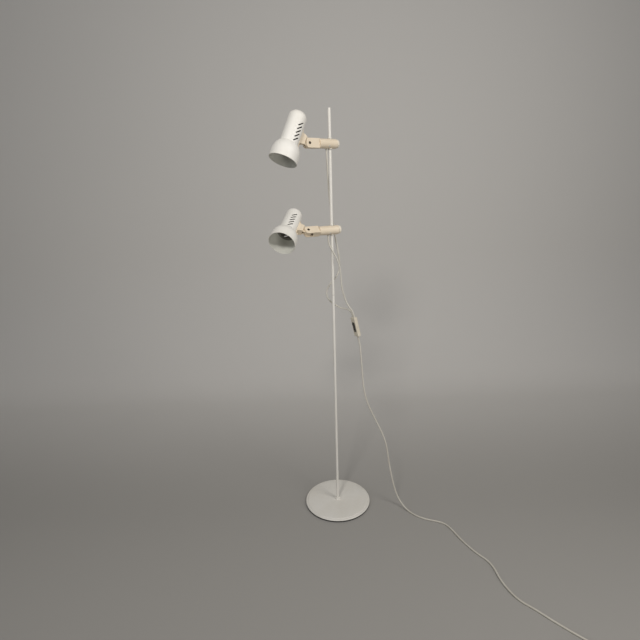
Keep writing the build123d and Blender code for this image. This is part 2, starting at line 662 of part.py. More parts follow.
# ---------------------------------------------------------------- cords
def lead(name, points, diameter):
    """Tube along straight runs joined by the largest arcs that the runs allow."""
    points = [Vector(*point) for point in points]
    radii = []
    for before, here, after in zip(points, points[1:], points[2:]):
        into, out = here - before, after - here
        turn = math.radians(into.get_angle(out))
        radii.append(0.45 * min(into.length, out.length) / math.tan(turn / 2))
    path = FilletPolyline(*points, radius=radii)
    start = Plane(origin=path @ 0, z_dir=path % 0)
    solid = sweep(start * Circle(diameter / 2), path=path)
    ideal = math.pi * diameter**2 / 4 * path.length
    print(f"{name}: length {path.length:.0f}, smallest radius {min(radii):.1f}, volume ratio {solid.volume / ideal:.5f}")
    print("   radii", [round(radius) for radius in radii])
    return solid


def local_point(place, point):
    """A point of a local frame in the lamp's frame."""
    return (place * Pos(*point)).position


def cord_top(lamp):
    """A cord's straight start, down from the barrel's grommet."""
    start = -BARREL_R - GROMMET_DROP
    return [local_point(clamp_place(lamp), (EXIT_X, 0, start - drop)) for drop in (0, CORD_STRAIGHT)]


def cord_end(side):
    """A cord's straight end, down into its gland on the switch."""
    end = SWITCH_L / 2 + GLAND_L
    return [local_point(switch_place(), (0, side, end + rise)) for rise in (CORD_STRAIGHT, 0)]


def upper_cord_points():
    """From the upper barrel down beside the pole, clear behind the lower arm, then a slack loop."""
    return cord_top("upper") + [(-9.8, -3.5, 1306), (-9, 5, 1268), (-6.8, 12, 1232), (-3.5, 19, 1190), (0.5, 28, 1157),
            (5, 35.5, 1126), (10, 38, 1092), (15, 38, 1060), (20, 38, 1031), (24.5, 37, 1003),
            (27.2, 35.5, 974), (25, 33.5, 950), (14, 31, 928), (-1, 26, 913), (-15, 19, 899),
            (-25, 12, 878), (-20, 9.5, 854), (-6, 14, 837), (11, 15, 825), (28, 11, 816),
            (43, 8, 815)] + cord_end(-CORD_SPACING)


def lower_cord_points():
    """From the lower barrel across the front of the pole and down to the switch."""
    return cord_top("lower") + [(-6, -13, 1040), (8, -15.5, 1017), (20, -12.5, 990), (27.5, -8, 958),
            (29, -5, 926), (31, -4, 896), (38, -3.5, 868), (46, -3.8, 843), (57, -4, 822)] + cord_end(CORD_SPACING)


def mains_points():
    """From the switch down to the floor and over it to the put-away coil."""
    floor = MAINS_D / 2 + FLOOR_GAP
    start = -SWITCH_L / 2 - RELIEF_L
    leaving = [local_point(switch_place(), (0, 0, start - drop)) for drop in (0, CORD_STRAIGHT)]
    hanging = leaving + [(98, -3, 636), (102, -6, 580), (106, -9, 512), (118, -12, 450), (144, -15, 390),
               (172, -18, 330), (191, -21, 280), (199, -23, 233), (206, -26, 178), (217, -29, 118),
               (228, -31, 70), (241, -37, 34), (258, -56, 11)]
    lying = [(277, -83), (303, -112), (338, -132), (374, -143), (402, -160), (418, -193), (431, -231),
             (448, -270), (472, -312), (497, -343), (507, -378), (508, -418), (519, -466), (538, -507),
             (570, -536), (600, -571), (632, -605), (665, -637), (700, -672)]
    return hanging + [(x, y, floor) for x, y in lying]


def mains_coil():
    """Outer shape of the put-away turns."""
    half = MAINS_D
    ring = tube(COIL_MID_R + half, COIL_MID_R - half, FLOOR_GAP, FLOOR_GAP + COIL_H, "Z")
    return Pos(*COIL_AT, 0) * fillet(ring.edges().filter_by(GeomType.CIRCLE), 2.5)


def plug_place():
    """Lying flat beside the coil, pins to the left, its relief at the coil's last turn."""
    x, y = COIL_AT
    return Pos(x - PLUG_LEAD, y - COIL_MID_R, PLUG_T / 2 + FLOOR_GAP) * Rot(0, 0, 180)


def plug_body():
    """Flat moulded two-pin plug that narrows to a tapered relief."""
    back = Plane.YZ.offset(PLUG_RELIEF) * RectangleRounded(PLUG_W * 0.42, PLUG_T * 0.8, 3)
    front = Plane.YZ.offset(PLUG_RELIEF + PLUG_L) * RectangleRounded(PLUG_W, PLUG_T, 4)
    body = loft([back, front])
    cone = Cone(MAINS_D / 2 + 0.5, 5.2, PLUG_RELIEF + 1, align=(Align.CENTER, Align.CENTER, Align.MIN))
    return body + Rot(0, 90, 0) * cone


def plug_pins():
    pair = []
    for side in (-PIN_SPACING / 2, PIN_SPACING / 2):
        pin = rod(PIN_R, PLUG_RELIEF + PLUG_L, PLUG_RELIEF + PLUG_L + PIN_L)
        pair.append(Pos(0, side, 0) * fillet(pin.edges().filter_by(GeomType.CIRCLE).sort_by(Axis.X)[-1], 1.2))
    return pair


# ---------------------------------------------------------------- write the nodes
def write_base_and_pole():
    save(base_cover(), "base_cover")
    save(base_weight(), "base_weight")
    save(base_pad(), "base_pad")
    save(pole_washer(), "pole_washer")
    save(pole_nut(), "pole_nut")
    save(pole_stud(), "pole_stud")
    save(pole_collar(), "pole_collar")
    save(pole_section(BASE_TOP, POLE_SEAM), "pole_lower")
    save(pole_joint(), "pole_joint")
    save(pole_section(POLE_SEAM, POLE_TOP), "pole_upper")
    save(pole_cap(), "pole_cap")


def write_lamp(lamp):
    clamp, arm, head = clamp_place(lamp), fork_place(lamp), head_place(lamp)
    save(clamp_bush(), f"{lamp}_clamp_bush", clamp)
    save(clamp_barrel(), f"{lamp}_clamp_barrel", clamp)
    save(cord_screw(), f"{lamp}_cord_screw", clamp * cord_screw_seat())
    save(cord_grommet(), f"{lamp}_cord_grommet", clamp)
    save(guide_pin(), f"{lamp}_guide_pin", clamp)
    save(clamp_shoe(), f"{lamp}_clamp_shoe", clamp)
    save(clamp_screw(), f"{lamp}_clamp_screw", clamp)
    save(clamp_knob(), f"{lamp}_clamp_knob", clamp)
    save(fork(), f"{lamp}_fork", arm)
    save(pivot_screw(DRIVER_SLOT[lamp]), f"{lamp}_pivot_screw", arm)
    save(pivot_nut(), f"{lamp}_pivot_nut", arm)
    save(friction_washers(), f"{lamp}_friction_washers", arm)
    save(knuckle(), f"{lamp}_knuckle", head)
    save(shade(), f"{lamp}_shade", head)
    save(saddle_screws(), f"{lamp}_saddle_screws", head)
    save(lamp_holder(), f"{lamp}_lamp_holder", head)
    save(lamp_contacts(), f"{lamp}_lamp_contacts", head)
    save(holder_bracket(), f"{lamp}_holder_bracket", head)


def write_switch_and_cords():
    place = switch_place()
    save(switch_front(), "switch_front", place)
    save(switch_back(), "switch_back", place)
    save(switch_screws(), "switch_screws", place)
    save(switch_rocker(), "switch_rocker", place)
    save(rocker_pin(), "rocker_pin", place)
    save(switch_terminals(), "switch_terminals", place)
    save(switch_glands(), "switch_glands", place)
    save(lead("upper_cord", upper_cord_points(), CORD_D), "upper_cord")
    save(lead("lower_cord", lower_cord_points(), CORD_D), "lower_cord")
    save(lead("mains_lead", mains_points(), MAINS_D), "mains_lead")
    save(mains_coil(), "mains_coil")
    save(plug_body(), "plug_body", plug_place())
    save(plug_pins(), "plug_pins", plug_place())


write_base_and_pole()
for lamp_name in LAMPS:
    write_lamp(lamp_name)
write_switch_and_cords()
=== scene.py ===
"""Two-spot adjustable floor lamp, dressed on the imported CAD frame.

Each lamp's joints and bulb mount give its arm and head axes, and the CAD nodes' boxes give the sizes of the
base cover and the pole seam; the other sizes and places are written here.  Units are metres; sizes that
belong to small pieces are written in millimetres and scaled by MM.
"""

import json
import logging
import math
from dataclasses import dataclass, field
from enum import Enum
from typing import Callable, Sequence

import bpy
import numpy as np
from mathutils import Matrix, Vector

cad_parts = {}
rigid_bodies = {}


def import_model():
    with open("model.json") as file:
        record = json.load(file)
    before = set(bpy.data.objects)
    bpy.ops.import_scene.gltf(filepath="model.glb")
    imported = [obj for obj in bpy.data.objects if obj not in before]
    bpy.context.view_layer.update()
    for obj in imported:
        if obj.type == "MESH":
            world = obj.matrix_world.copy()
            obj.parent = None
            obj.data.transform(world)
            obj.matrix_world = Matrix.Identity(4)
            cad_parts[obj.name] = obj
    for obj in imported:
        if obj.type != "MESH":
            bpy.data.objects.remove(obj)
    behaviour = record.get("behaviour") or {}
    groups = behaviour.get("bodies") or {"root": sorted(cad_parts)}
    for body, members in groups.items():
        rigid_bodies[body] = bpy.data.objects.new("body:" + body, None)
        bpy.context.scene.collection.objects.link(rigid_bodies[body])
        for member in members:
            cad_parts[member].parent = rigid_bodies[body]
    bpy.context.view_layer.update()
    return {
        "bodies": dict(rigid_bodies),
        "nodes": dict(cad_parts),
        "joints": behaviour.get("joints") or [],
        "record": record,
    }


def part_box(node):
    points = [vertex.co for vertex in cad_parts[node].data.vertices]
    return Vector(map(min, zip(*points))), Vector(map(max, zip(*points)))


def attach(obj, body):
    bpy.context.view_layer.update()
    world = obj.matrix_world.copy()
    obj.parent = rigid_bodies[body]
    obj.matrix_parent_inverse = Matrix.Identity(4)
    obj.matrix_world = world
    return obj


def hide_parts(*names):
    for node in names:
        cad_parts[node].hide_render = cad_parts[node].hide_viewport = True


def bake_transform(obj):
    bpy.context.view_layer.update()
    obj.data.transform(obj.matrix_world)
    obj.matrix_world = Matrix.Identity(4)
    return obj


logging.basicConfig(level=logging.INFO, format="%(name)s: %(message)s")
LOG = logging.getLogger("floor_lamp")

MM = 0.001
TAU = 2 * math.pi
WELD = 2e-6  # pitch of the lattice on which vertices are joined, in metres
# Edges that turn more than this, in degrees, stay crisp: on CAD pieces, small plates, shades, turned
# pieces and round tubes.
CAD_CRISP, PLATE_CRISP, SHADE_CRISP, TURNED_CRISP, TUBE_CRISP = 34.0, 30.0, 38.0, 50.0, 60.0

Array = np.ndarray
Pair = tuple[float, float]
Triple = tuple[float, float, float]
Value = float | tuple[float, ...] | bpy.types.NodeSocket  # what a node's input can be given


class LampName(Enum):
    """The two spots on the pole."""

    UPPER = "upper"
    LOWER = "lower"


class ArmPart(Enum):
    """The parts of a lamp that have covers."""

    FORK = "fork"
    HEAD = "head"


class Axis(Enum):
    """The axis that a profile turns about."""

    X = "x"
    Z = "z"


# -------- frames
def basis(x: Vector, y: Vector, z: Vector, origin: Vector) -> Matrix:
    """A 4x4 matrix from three unit axes and an origin.

    Args:
        x: First axis, in the row frame.
        y: Second axis.
        z: Third axis.
        origin: Where the local origin lies, in metres.

    Returns:
        The local-to-row matrix.
    """
    matrix = Matrix((x, y, z)).transposed().to_4x4()
    matrix.translation = origin
    return matrix


@dataclass(frozen=True)
class LampFrames:
    """Local frames of one spot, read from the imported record.

    Attributes:
        clamp: Origin on the pole's axis, x out along the arm, z up.
        fork: Origin on the tilt axis, x out along the arm, y along the tilt axis.
        head: Origin on the tilt axis, x along the shade to its mouth, y along the tilt axis.
    """

    clamp: Matrix
    fork: Matrix
    head: Matrix

    @classmethod
    def read(cls, name: LampName, record: dict) -> "LampFrames":
        """Builds the frames from the joints and the bulb mount.

        Args:
            name: Which lamp.
            record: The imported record.

        Returns:
            The three frames at rest.
        """
        joints = {joint["name"]: joint for joint in record["behaviour"]["joints"]}
        mounts = {mount["name"]: mount for mount in record["mounts"]}
        swivel, roll, tilt = (joints[f"{name.value}_{kind}"] for kind in ("swivel", "roll", "tilt"))
        up = Vector((0, 0, 1))
        out, side = (Vector(joint["axis"]).normalized() for joint in (roll, tilt))
        aim = Vector(mounts[f"{name.value}_bulb_thread"]["axis"]).normalized()
        pivot = Vector(tilt["pos_m"])
        return cls(
            clamp=basis(out, up.cross(out), up, Vector(swivel["pos_m"])),
            fork=basis(out, side, out.cross(side), pivot),
            head=basis(aim, side, aim.cross(side), pivot),
        )


# -------- mesh building
@dataclass
class Surface:
    """A mesh gathered from grid patches of quads."""

    points: list[Array] = field(default_factory=list)
    quads: list[Array] = field(default_factory=list)
    count: int = 0

    def grid(self, places: Array, close_v: bool = False, flip: bool = False,
             keep: Array | None = None) -> None:
        """Adds a (u, v, 3) grid, each cell one quad.

        Corner (u, v) has index u * columns + v, so a cell's corners are that index, its right
        neighbour, and the same two one row on.

        Args:
            places: The grid of places, in metres.
            close_v: Joins the last column to the first.
            flip: Turns the faces over.
            keep: Which cells to add, as a (rows - 1, columns) mask; all when it isn't given.
        """
        rows, columns = places.shape[:2]
        index = np.arange(rows * columns).reshape(rows, columns)
        right = np.roll(index, -1, 1)
        quads = np.stack([index[:-1], right[:-1], right[1:], index[1:]], -1)
        quads = quads if close_v else quads[:, :-1]
        quads = quads[keep] if keep is not None else quads.reshape(-1, 4)
        self.quads.append((quads[:, ::-1] if flip else quads) + self.count)
        self.points.append(places.reshape(-1, 3))
        self.count += rows * columns

    def build(self, name: str, crisp: float, frame: Matrix = Matrix.Identity(4)) -> bpy.types.Object:
        """Makes the mesh object, at the origin, with its place in its vertices.

        Vertices are joined by rounding them to a fine lattice.  A cell with two corners in one
        place becomes a triangle.

        Args:
            name: Object name.
            crisp: Edges that turn more than this, in degrees, stay crisp.
            frame: Local-to-row matrix.

        Returns:
            The linked object.
        """
        matrix = np.array(frame)
        places = np.concatenate(self.points) @ matrix[:3, :3].T + matrix[:3, 3]
        keys = np.round(places / WELD).astype(np.int64)
        _, first, index = np.unique(keys, axis=0, return_index=True, return_inverse=True)
        used, quads = np.unique(index.ravel()[np.concatenate(self.quads)], return_inverse=True)
        quads = quads.reshape(-1, 4)
        doubled = quads == np.roll(quads, -1, 1)
        single = doubled.sum(1) == 1
        triangles = quads[single][~doubled[single]].reshape(-1, 3)
        mesh = bpy.data.meshes.new(name)
        mesh.from_pydata(places[first[used]], [], quads[~doubled.any(1)].tolist() + triangles.tolist())
        mesh.update()
        mesh.shade_smooth()
        mesh.set_sharp_from_angle(angle=math.radians(crisp))
        made = bpy.data.objects.new(name, mesh)
        bpy.context.scene.collection.objects.link(made)
        return made


def arc(centre: Pair, radius: float, start: float, end: float, steps: int) -> list[Pair]:
    """Points along a circular arc in a profile's plane.

    Args:
        centre: Arc centre.
        radius: Arc radius.
        start: First angle, degrees.
        end: Last angle, degrees.
        steps: Number of pieces.

    Returns:
        steps + 1 points.
    """
    angles = [math.radians(start + (end - start) * step / steps) for step in range(steps + 1)]
    return [(centre[0] + radius * math.cos(a), centre[1] + radius * math.sin(a)) for a in angles]


def lathe(profile: Sequence[Pair], segments: int, axis: Axis = Axis.Z) -> Array:
    """Turns an (along, radius) profile about an axis.

    Each profile point becomes a ring: along the axis it keeps its first value, and round it the radius
    is spread by cosine and sine.

    Args:
        profile: (along, radius) pairs, in millimetres.
        segments: Points in each ring.
        axis: What it turns about.

    Returns:
        A (profile, segments, 3) grid in metres, which closes in its second direction.
    """
    along, radius = np.array(profile, float).T * MM
    turn = np.arange(segments) * TAU / segments
    ring_a, ring_b = np.outer(radius, np.cos(turn)), np.outer(radius, np.sin(turn))
    fixed = np.repeat(along[:, None], segments, 1)
    return np.stack([fixed, ring_a, ring_b] if axis is Axis.X else [ring_a, ring_b, fixed], -1)


def face_values(mesh: bpy.types.Mesh, name: str) -> Array:
    """A value that each face has, its center or its normal.

    Args:
        mesh: Whose faces they are.
        name: The value's name.

    Returns:
        A (faces, 3) array.
    """
    values = np.zeros(len(mesh.polygons) * 3)
    mesh.polygons.foreach_get(name, values)
    return values.reshape(-1, 3)


def dress(made: bpy.types.Object, materials: Sequence[bpy.types.Material], slot: str, body: str = "",
          nodes: Sequence[str] = ()) -> bpy.types.Object:
    """Gives a piece its materials and its place in the frame, and reports it.

    Args:
        made: The piece.
        materials: Its materials, in the order of its faces' material numbers.
        slot: Its material slot.
        body: The body that it rides on; empty for a cord: the mains lead is put on the stand after it is
            built, and the lamp cords stay on none.
        nodes: CAD nodes that it replaces.

    Returns:
        The same piece.
    """
    for material in materials:
        made.data.materials.append(material)
    if nodes:
        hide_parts(*nodes)
    if body:
        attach(made, body)
    LOG.info("%s: %d faces, slot %s", made.name, len(made.data.polygons), slot)
    return made


# -------- node trees
class Wiring:
    """Writes a node tree, one call to a node."""

    def __init__(self, tree: bpy.types.NodeTree) -> None:
        """Takes the tree to write in."""
        self.tree = tree

    def feed(self, node: bpy.types.Node, inputs: dict[str | int, Value]) -> None:
        """Links each input that is given a socket, and sets the others.

        Args:
            node: Whose inputs they are.
            inputs: Each input's value or source, by its name or number.
        """
        for key, value in inputs.items():
            if isinstance(value, bpy.types.NodeSocket):
                self.tree.links.new(value, node.inputs[key])
            else:
                node.inputs[key].default_value = value

    def add(self, kind: str, output: str | int, inputs: dict[str | int, Value] | None = None,
            **settings: object) -> bpy.types.NodeSocket:
        """Adds a node.

        Args:
            kind: Its type, without the common start.
            output: Which output is wanted.
            inputs: Values and sources of its inputs.
            **settings: Its own properties, such as the operation.

        Returns:
            The output.
        """
        node = self.tree.nodes.new(f"ShaderNode{kind}")
        for key, value in settings.items():
            setattr(node, key, value)
        self.feed(node, inputs or {})
        return node.outputs[output]

    def place(self, group: bpy.types.NodeTree, inputs: dict[str | int, Value]) -> bpy.types.Node:
        """Places a node group with its own values.

        Args:
            group: The shared group.
            inputs: Values of its inputs.

        Returns:
            The group's node.
        """
        node = self.tree.nodes.new("ShaderNodeGroup")
        node.node_tree = group
        self.feed(node, inputs)
        return node


def new_group(name: str, inputs: dict[str, str],
              outputs: dict[str, str]) -> tuple[Wiring, bpy.types.Node, bpy.types.Node]:
    """Starts a shader node group.

    Args:
        name: Group name.
        inputs: Kind of each named input: Float, Color or Vector.
        outputs: Kind of each named output.

    Returns:
        The wiring with the group's input and output nodes.
    """
    tree = bpy.data.node_groups.new(name, "ShaderNodeTree")
    for way, sockets in (("INPUT", inputs), ("OUTPUT", outputs)):
        for label, kind in sockets.items():
            tree.interface.new_socket(label, in_out=way, socket_type=f"NodeSocket{kind}")
    return Wiring(tree), tree.nodes.new("NodeGroupInput"), tree.nodes.new("NodeGroupOutput")


def fine_relief_group() -> bpy.types.NodeTree:
    """Fine relief of paint or moulded plastic: two noise sizes added and turned into a normal.

    Returns:
        The group, with Scale and Strength in and Normal out.
    """
    coarse_scale, fine_share, depth = 0.22, 0.6, 0.0002
    wiring, given, out = new_group("fine_relief", {"Scale": "Float", "Strength": "Float"},
                                   {"Normal": "Vector"})
    place, scale = wiring.add("TexCoord", "Object"), given.outputs["Scale"]
    fine = wiring.add("TexNoise", "Fac", {"Vector": place, "Scale": scale, "Detail": 3.0})
    wide = wiring.add("Math", 0, {0: scale, 1: coarse_scale}, operation="MULTIPLY")
    coarse = wiring.add("TexNoise", "Fac", {"Vector": place, "Scale": wide, "Detail": 1.0})
    height = wiring.add("Math", 0, {0: fine, 1: fine_share, 2: coarse}, operation="MULTIPLY_ADD")
    normal = wiring.add("Bump", "Normal", {"Height": height, "Strength": given.outputs["Strength"],
                                           "Distance": depth})
    wiring.feed(out, {"Normal": normal})
    return wiring.tree


def mottle_group() -> bpy.types.NodeTree:
    """Slow colour drift: a wide noise, stretched to its full range, mixes two colours.

    Returns:
        The group, with Scale, Light and Dark in, and Color and Mask out.
    """
    wiring, given, out = new_group("mottle", {"Scale": "Float", "Light": "Color", "Dark": "Color"},
                                   {"Mask": "Float", "Color": "Color"})
    noise = wiring.add("TexNoise", "Fac", {"Vector": wiring.add("TexCoord", "Object"),
                                           "Scale": given.outputs["Scale"], "Detail": 4.0, "Roughness": 0.55})
    mask = wiring.add("MapRange", "Result", {"Value": noise, "From Min": 0.35, "From Max": 0.65})
    colour = wiring.add("Mix", "Result", {"Factor": mask, "A": given.outputs["Light"],
                                          "B": given.outputs["Dark"]}, data_type="RGBA")
    wiring.feed(out, {"Color": colour, "Mask": mask})
    return wiring.tree


def dust_group() -> bpy.types.NodeTree:
    """Dust on what faces up: the normal's z, sharpened, times a broken noise.

    Returns:
        The group, with Amount in and Mask out.
    """
    wiring, given, out = new_group("settled_dust", {"Amount": "Float"}, {"Mask": "Float"})
    noise = wiring.add("TexNoise", "Fac", {"Vector": wiring.add("TexCoord", "Object"), "Scale": 60.0,
                                           "Detail": 6.0, "Roughness": 0.7})
    up = wiring.add("SeparateXYZ", "Z", {"Vector": wiring.add("NewGeometry", "Normal")})
    facing = wiring.add("MapRange", "Result", {"Value": up, "From Min": 0.55, "From Max": 1.0})
    broken = wiring.add("Math", 0, {0: facing, 1: noise}, operation="MULTIPLY")
    mask = wiring.add("Math", 0, {0: broken, 1: given.outputs["Amount"]}, operation="MULTIPLY")
    wiring.feed(out, {"Mask": mask})
    return wiring.tree


# -------- finishes
def linear(display: tuple[int, int, int]) -> tuple[float, ...]:
    """Scene-linear colour, with full alpha, of a display colour given as three numbers from 0 to 255."""
    shares = [c / 255 for c in display]
    return (*(c / 12.92 if c <= 0.04045 else ((c + 0.055) / 1.055) ** 2.4 for c in shares), 1)


@dataclass(frozen=True)
class Finish:
    """How one kind of surface looks.

    Attributes:
        name: Material name.
        light: Main colour, as a display colour.
        dark: The colour it drifts towards.
        roughness: Roughness where the surface is clean.
        drift: Added to the roughness where the mottle is strongest.
        grain: Grains per metre of the fine relief.
        relief: Strength of the fine relief.
        mottle: Size of the colour drift, per metre.
        dust: How much dust lies on what faces up.
        metallic: 0 or 1.
        coat: Clear layer's weight.
    """

    name: str
    light: tuple[int, int, int]
    dark: tuple[int, int, int]
    roughness: float
    drift: float
    grain: float
    relief: float
    mottle: float
    dust: float = 0.15
    metallic: float = 0.0
    coat: float = 0.0


PAINT = Finish("warm_white_paint", (237, 234, 227), (231, 227, 218), roughness=0.5, drift=0.07, grain=700.0,
               relief=0.1, mottle=9.0, dust=0.25, coat=0.05)
# Inner paint: a slightly darker, cooler copy of the outer white paint, as painted shade for the dim inside.
INNER_PAINT_SHADED = Finish("inner_paint_painted_shade", (224, 223, 214), (215, 214, 204), roughness=0.52, drift=0.1,
                     grain=600.0, relief=0.14, mottle=20.0, dust=0.1)
# A darker grey inside the neck, behind the bell: painted shade where little light gets in.
NECK_PAINTED_SHADE = Finish("neck_painted_shade", (150, 147, 139), (138, 134, 126), roughness=0.6, drift=0.1, grain=600.0,
                     relief=0.14, mottle=20.0, dust=0.1)
CREAM = Finish("cream_plastic", (234, 219, 196), (226, 210, 185), roughness=0.48, drift=0.08, grain=1600.0,
               relief=0.16, mottle=16.0, dust=0.2)
KNOB_CREAM = Finish("knob_plastic", (234, 226, 209), (227, 217, 197), roughness=0.42, drift=0.08,
                    grain=1600.0, relief=0.12, mottle=20.0, dust=0.2)
SWITCH = Finish("switch_plastic", (226, 219, 202), (216, 207, 188), roughness=0.3, drift=0.08, grain=1200.0,
                relief=0.06, mottle=25.0)
BLACK = Finish("rocker_plastic", (28, 27, 27), (38, 36, 35), roughness=0.26, drift=0.12, grain=1200.0,
               relief=0.05, mottle=60.0, dust=0.5)
CORD = Finish("cord_pvc", (212, 208, 197), (202, 197, 185), roughness=0.45, drift=0.12, grain=500.0,
              relief=0.08, mottle=14.0, dust=0.2)
LINER = Finish("liner_nylon", (214, 210, 200), (204, 198, 186), roughness=0.5, drift=0.1, grain=1200.0,
               relief=0.08, mottle=30.0)
STEEL = Finish("zinc_steel", (176, 174, 168), (150, 147, 140), roughness=0.34, drift=0.2, grain=2500.0,
               relief=0.12, mottle=70.0, dust=0.1, metallic=1.0)
# Dark brown steel for the pivot screw: painted shade of the recess it sits in.
SCREW_STEEL_PAINTED_SHADE = Finish("screw_painted_shade", (84, 76, 66), (64, 58, 50), roughness=0.42, drift=0.2, grain=2500.0,
                    relief=0.12, mottle=90.0, dust=0.1, metallic=1.0)
BRASS = Finish("contact_brass", (196, 164, 96), (160, 126, 68), roughness=0.32, drift=0.2, grain=2000.0,
               relief=0.1, mottle=60.0, metallic=1.0)
NICKEL = Finish("pin_nickel", (205, 202, 195), (180, 176, 168), roughness=0.2, drift=0.15, grain=2500.0,
                relief=0.05, mottle=80.0, metallic=1.0)
IRON = Finish("cast_iron", (62, 60, 58), (48, 44, 41), roughness=0.7, drift=0.1, grain=400.0, relief=0.5,
              mottle=30.0, metallic=1.0)
# Black rubber of the base's pad; the same black is the band of painted shadow on the base cover's skirt foot.
RUBBER_AND_PAINTED_SHADOW = Finish("base_rubber_and_painted_shadow", (38, 38, 38), (30, 30, 30), roughness=0.75, drift=0.1, grain=900.0,
                relief=0.3, mottle=30.0)
BAKELITE = Finish("holder_bakelite", (34, 32, 31), (24, 22, 21), roughness=0.35, drift=0.12, grain=900.0,
                  relief=0.06, mottle=40.0, dust=0.2)
FINISH_OF_SLOT = {
    "white_paint": PAINT, "white_plastic": PAINT, "iron": IRON, "rubber": RUBBER_AND_PAINTED_SHADOW, "steel": STEEL,
    "cream_plastic": CREAM, "liner": LINER, "dark_plastic": BAKELITE, "brass": BRASS, "switch_cream": SWITCH,
    "black_plastic": BLACK, "cord_pvc": CORD, "nickel": NICKEL,
}
# The pivot screw's dark brown is painted shade of its recess.
FINISH_OF_PIECE = {"pivot_screw": SCREW_STEEL_PAINTED_SHADE, "clamp_knob": KNOB_CREAM, "cord_screw": LINER}
DUST_COLOUR = (196, 190, 178)
DUST_ROUGHNESS = 0.35  # added where dust is thickest
COAT_ROUGHNESS = 0.25


class FinishLibrary:
    """Builds each material once."""

    def __init__(self) -> None:
        """Builds the node groups that every material shares."""
        self.relief, self.mottle, self.dust = fine_relief_group(), mottle_group(), dust_group()
        self.made: dict[str, bpy.types.Material] = {}

    def get(self, *finishes: Finish) -> list[bpy.types.Material]:
        """The materials of some finishes.

        Args:
            *finishes: What they look like.

        Returns:
            A node material on a Principled shader for each.
        """
        for finish in finishes:
            if finish.name not in self.made:
                self.made[finish.name] = self._build(finish)
        return [self.made[finish.name] for finish in finishes]

    def _build(self, finish: Finish) -> bpy.types.Material:
        """Wires one material: mottled colour under dust, drifting roughness and fine relief.

        Args:
            finish: What it looks like.

        Returns:
            The material.
        """
        material = bpy.data.materials.new(finish.name)
        material.use_nodes = True
        wiring = Wiring(material.node_tree)
        mottle = wiring.place(self.mottle, {"Scale": finish.mottle, "Light": linear(finish.light),
                                            "Dark": linear(finish.dark)})
        relief = wiring.place(self.relief, {"Scale": finish.grain, "Strength": finish.relief})
        dust = wiring.place(self.dust, {"Amount": finish.dust}).outputs["Mask"]
        colour = wiring.add("Mix", "Result", {"Factor": dust, "A": mottle.outputs["Color"],
                                              "B": linear(DUST_COLOUR)}, data_type="RGBA")
        rough = wiring.add("Math", 0, {0: mottle.outputs["Mask"], 1: finish.drift,
                                       2: finish.roughness}, operation="MULTIPLY_ADD")
        dusty = wiring.add("Math", 0, {0: dust, 1: DUST_ROUGHNESS, 2: rough}, operation="MULTIPLY_ADD")
        wiring.feed(material.node_tree.nodes["Principled BSDF"], {
            "Base Color": colour, "Roughness": dusty, "Normal": relief.outputs["Normal"],
            "Metallic": finish.metallic, "Coat Weight": finish.coat, "Coat Roughness": COAT_ROUGHNESS})
        return material


# -------- shade
@dataclass(frozen=True)
class ShadeSizes:
    """Sizes of a spun shade, in millimetres; x runs along it from the tilt axis to the mouth."""

    axis_height: float = 64.4
    mouth: float = 96.0
    length: float = 164.0
    neck_r: float = 29.0
    wall: float = 1.0
    crown: float = 1.8
    corner: float = 21.0
    bell_length: float = 57.5
    bell_r: float = 45.3
    bell_step: float = 2.3
    bell_flare: float = 0.4
    bell_straight: float = 22.0
    bead: float = 1.3
    bead_turn: tuple[float, float] = (158.0, -156.0)
    slots: int = 5
    slot_pitch: float = 12.4
    slot_offset: float = 70.0
    slot_length: float = 22.0
    slot_width: float = 3.6
    slot_slant: float = 45.0
    slot_drop: float = 2.7
    slot_edge: float = 0.18
    slot_margin: float = 1.9

    @property
    def bell_start(self) -> float:
        """Where the neck ends."""
        return self.mouth - self.bell_length

    @property
    def slot_half(self) -> float:
        """Half the straight part of a slot."""
        return self.slot_length / 2 - self.slot_width / 2

    @property
    def slot_middles(self) -> Array:
        """Middles of the slots along the neck, from the closed end on."""
        return self.mouth - self.slot_offset - np.arange(self.slots)[::-1] * self.slot_pitch


@dataclass(frozen=True)
class ShadeGrid:
    """How a shade and the windows round its slots are divided.

    Attributes:
        segments: Columns round the shade.
        first: First column of a window, from the side of the shade.
        last: Its last column.
        rows: Rows of a tile.
        cap_steps: Steps round a quarter of a slot's tip.
        reach: Height over which the lines between tiles slant, in millimetres.
        rings: Shares of the way from a slot to its tile's edge.
        end_steps: Steps round the closed end's corner.
        bell_steps: Steps along the bell's arc.
        bead_steps: Steps round the bead.
    """

    segments: int = 120
    first: int = -10
    last: int = 6
    rows: int = 6
    cap_steps: int = 4
    reach: float = 7.5
    rings: tuple[float, ...] = (0.0, 0.1, 0.45, 1.0)
    end_steps: int = 16
    bell_steps: int = 22
    bead_steps: int = 18

    @property
    def columns(self) -> int:
        """Columns of a window."""
        return self.last - self.first


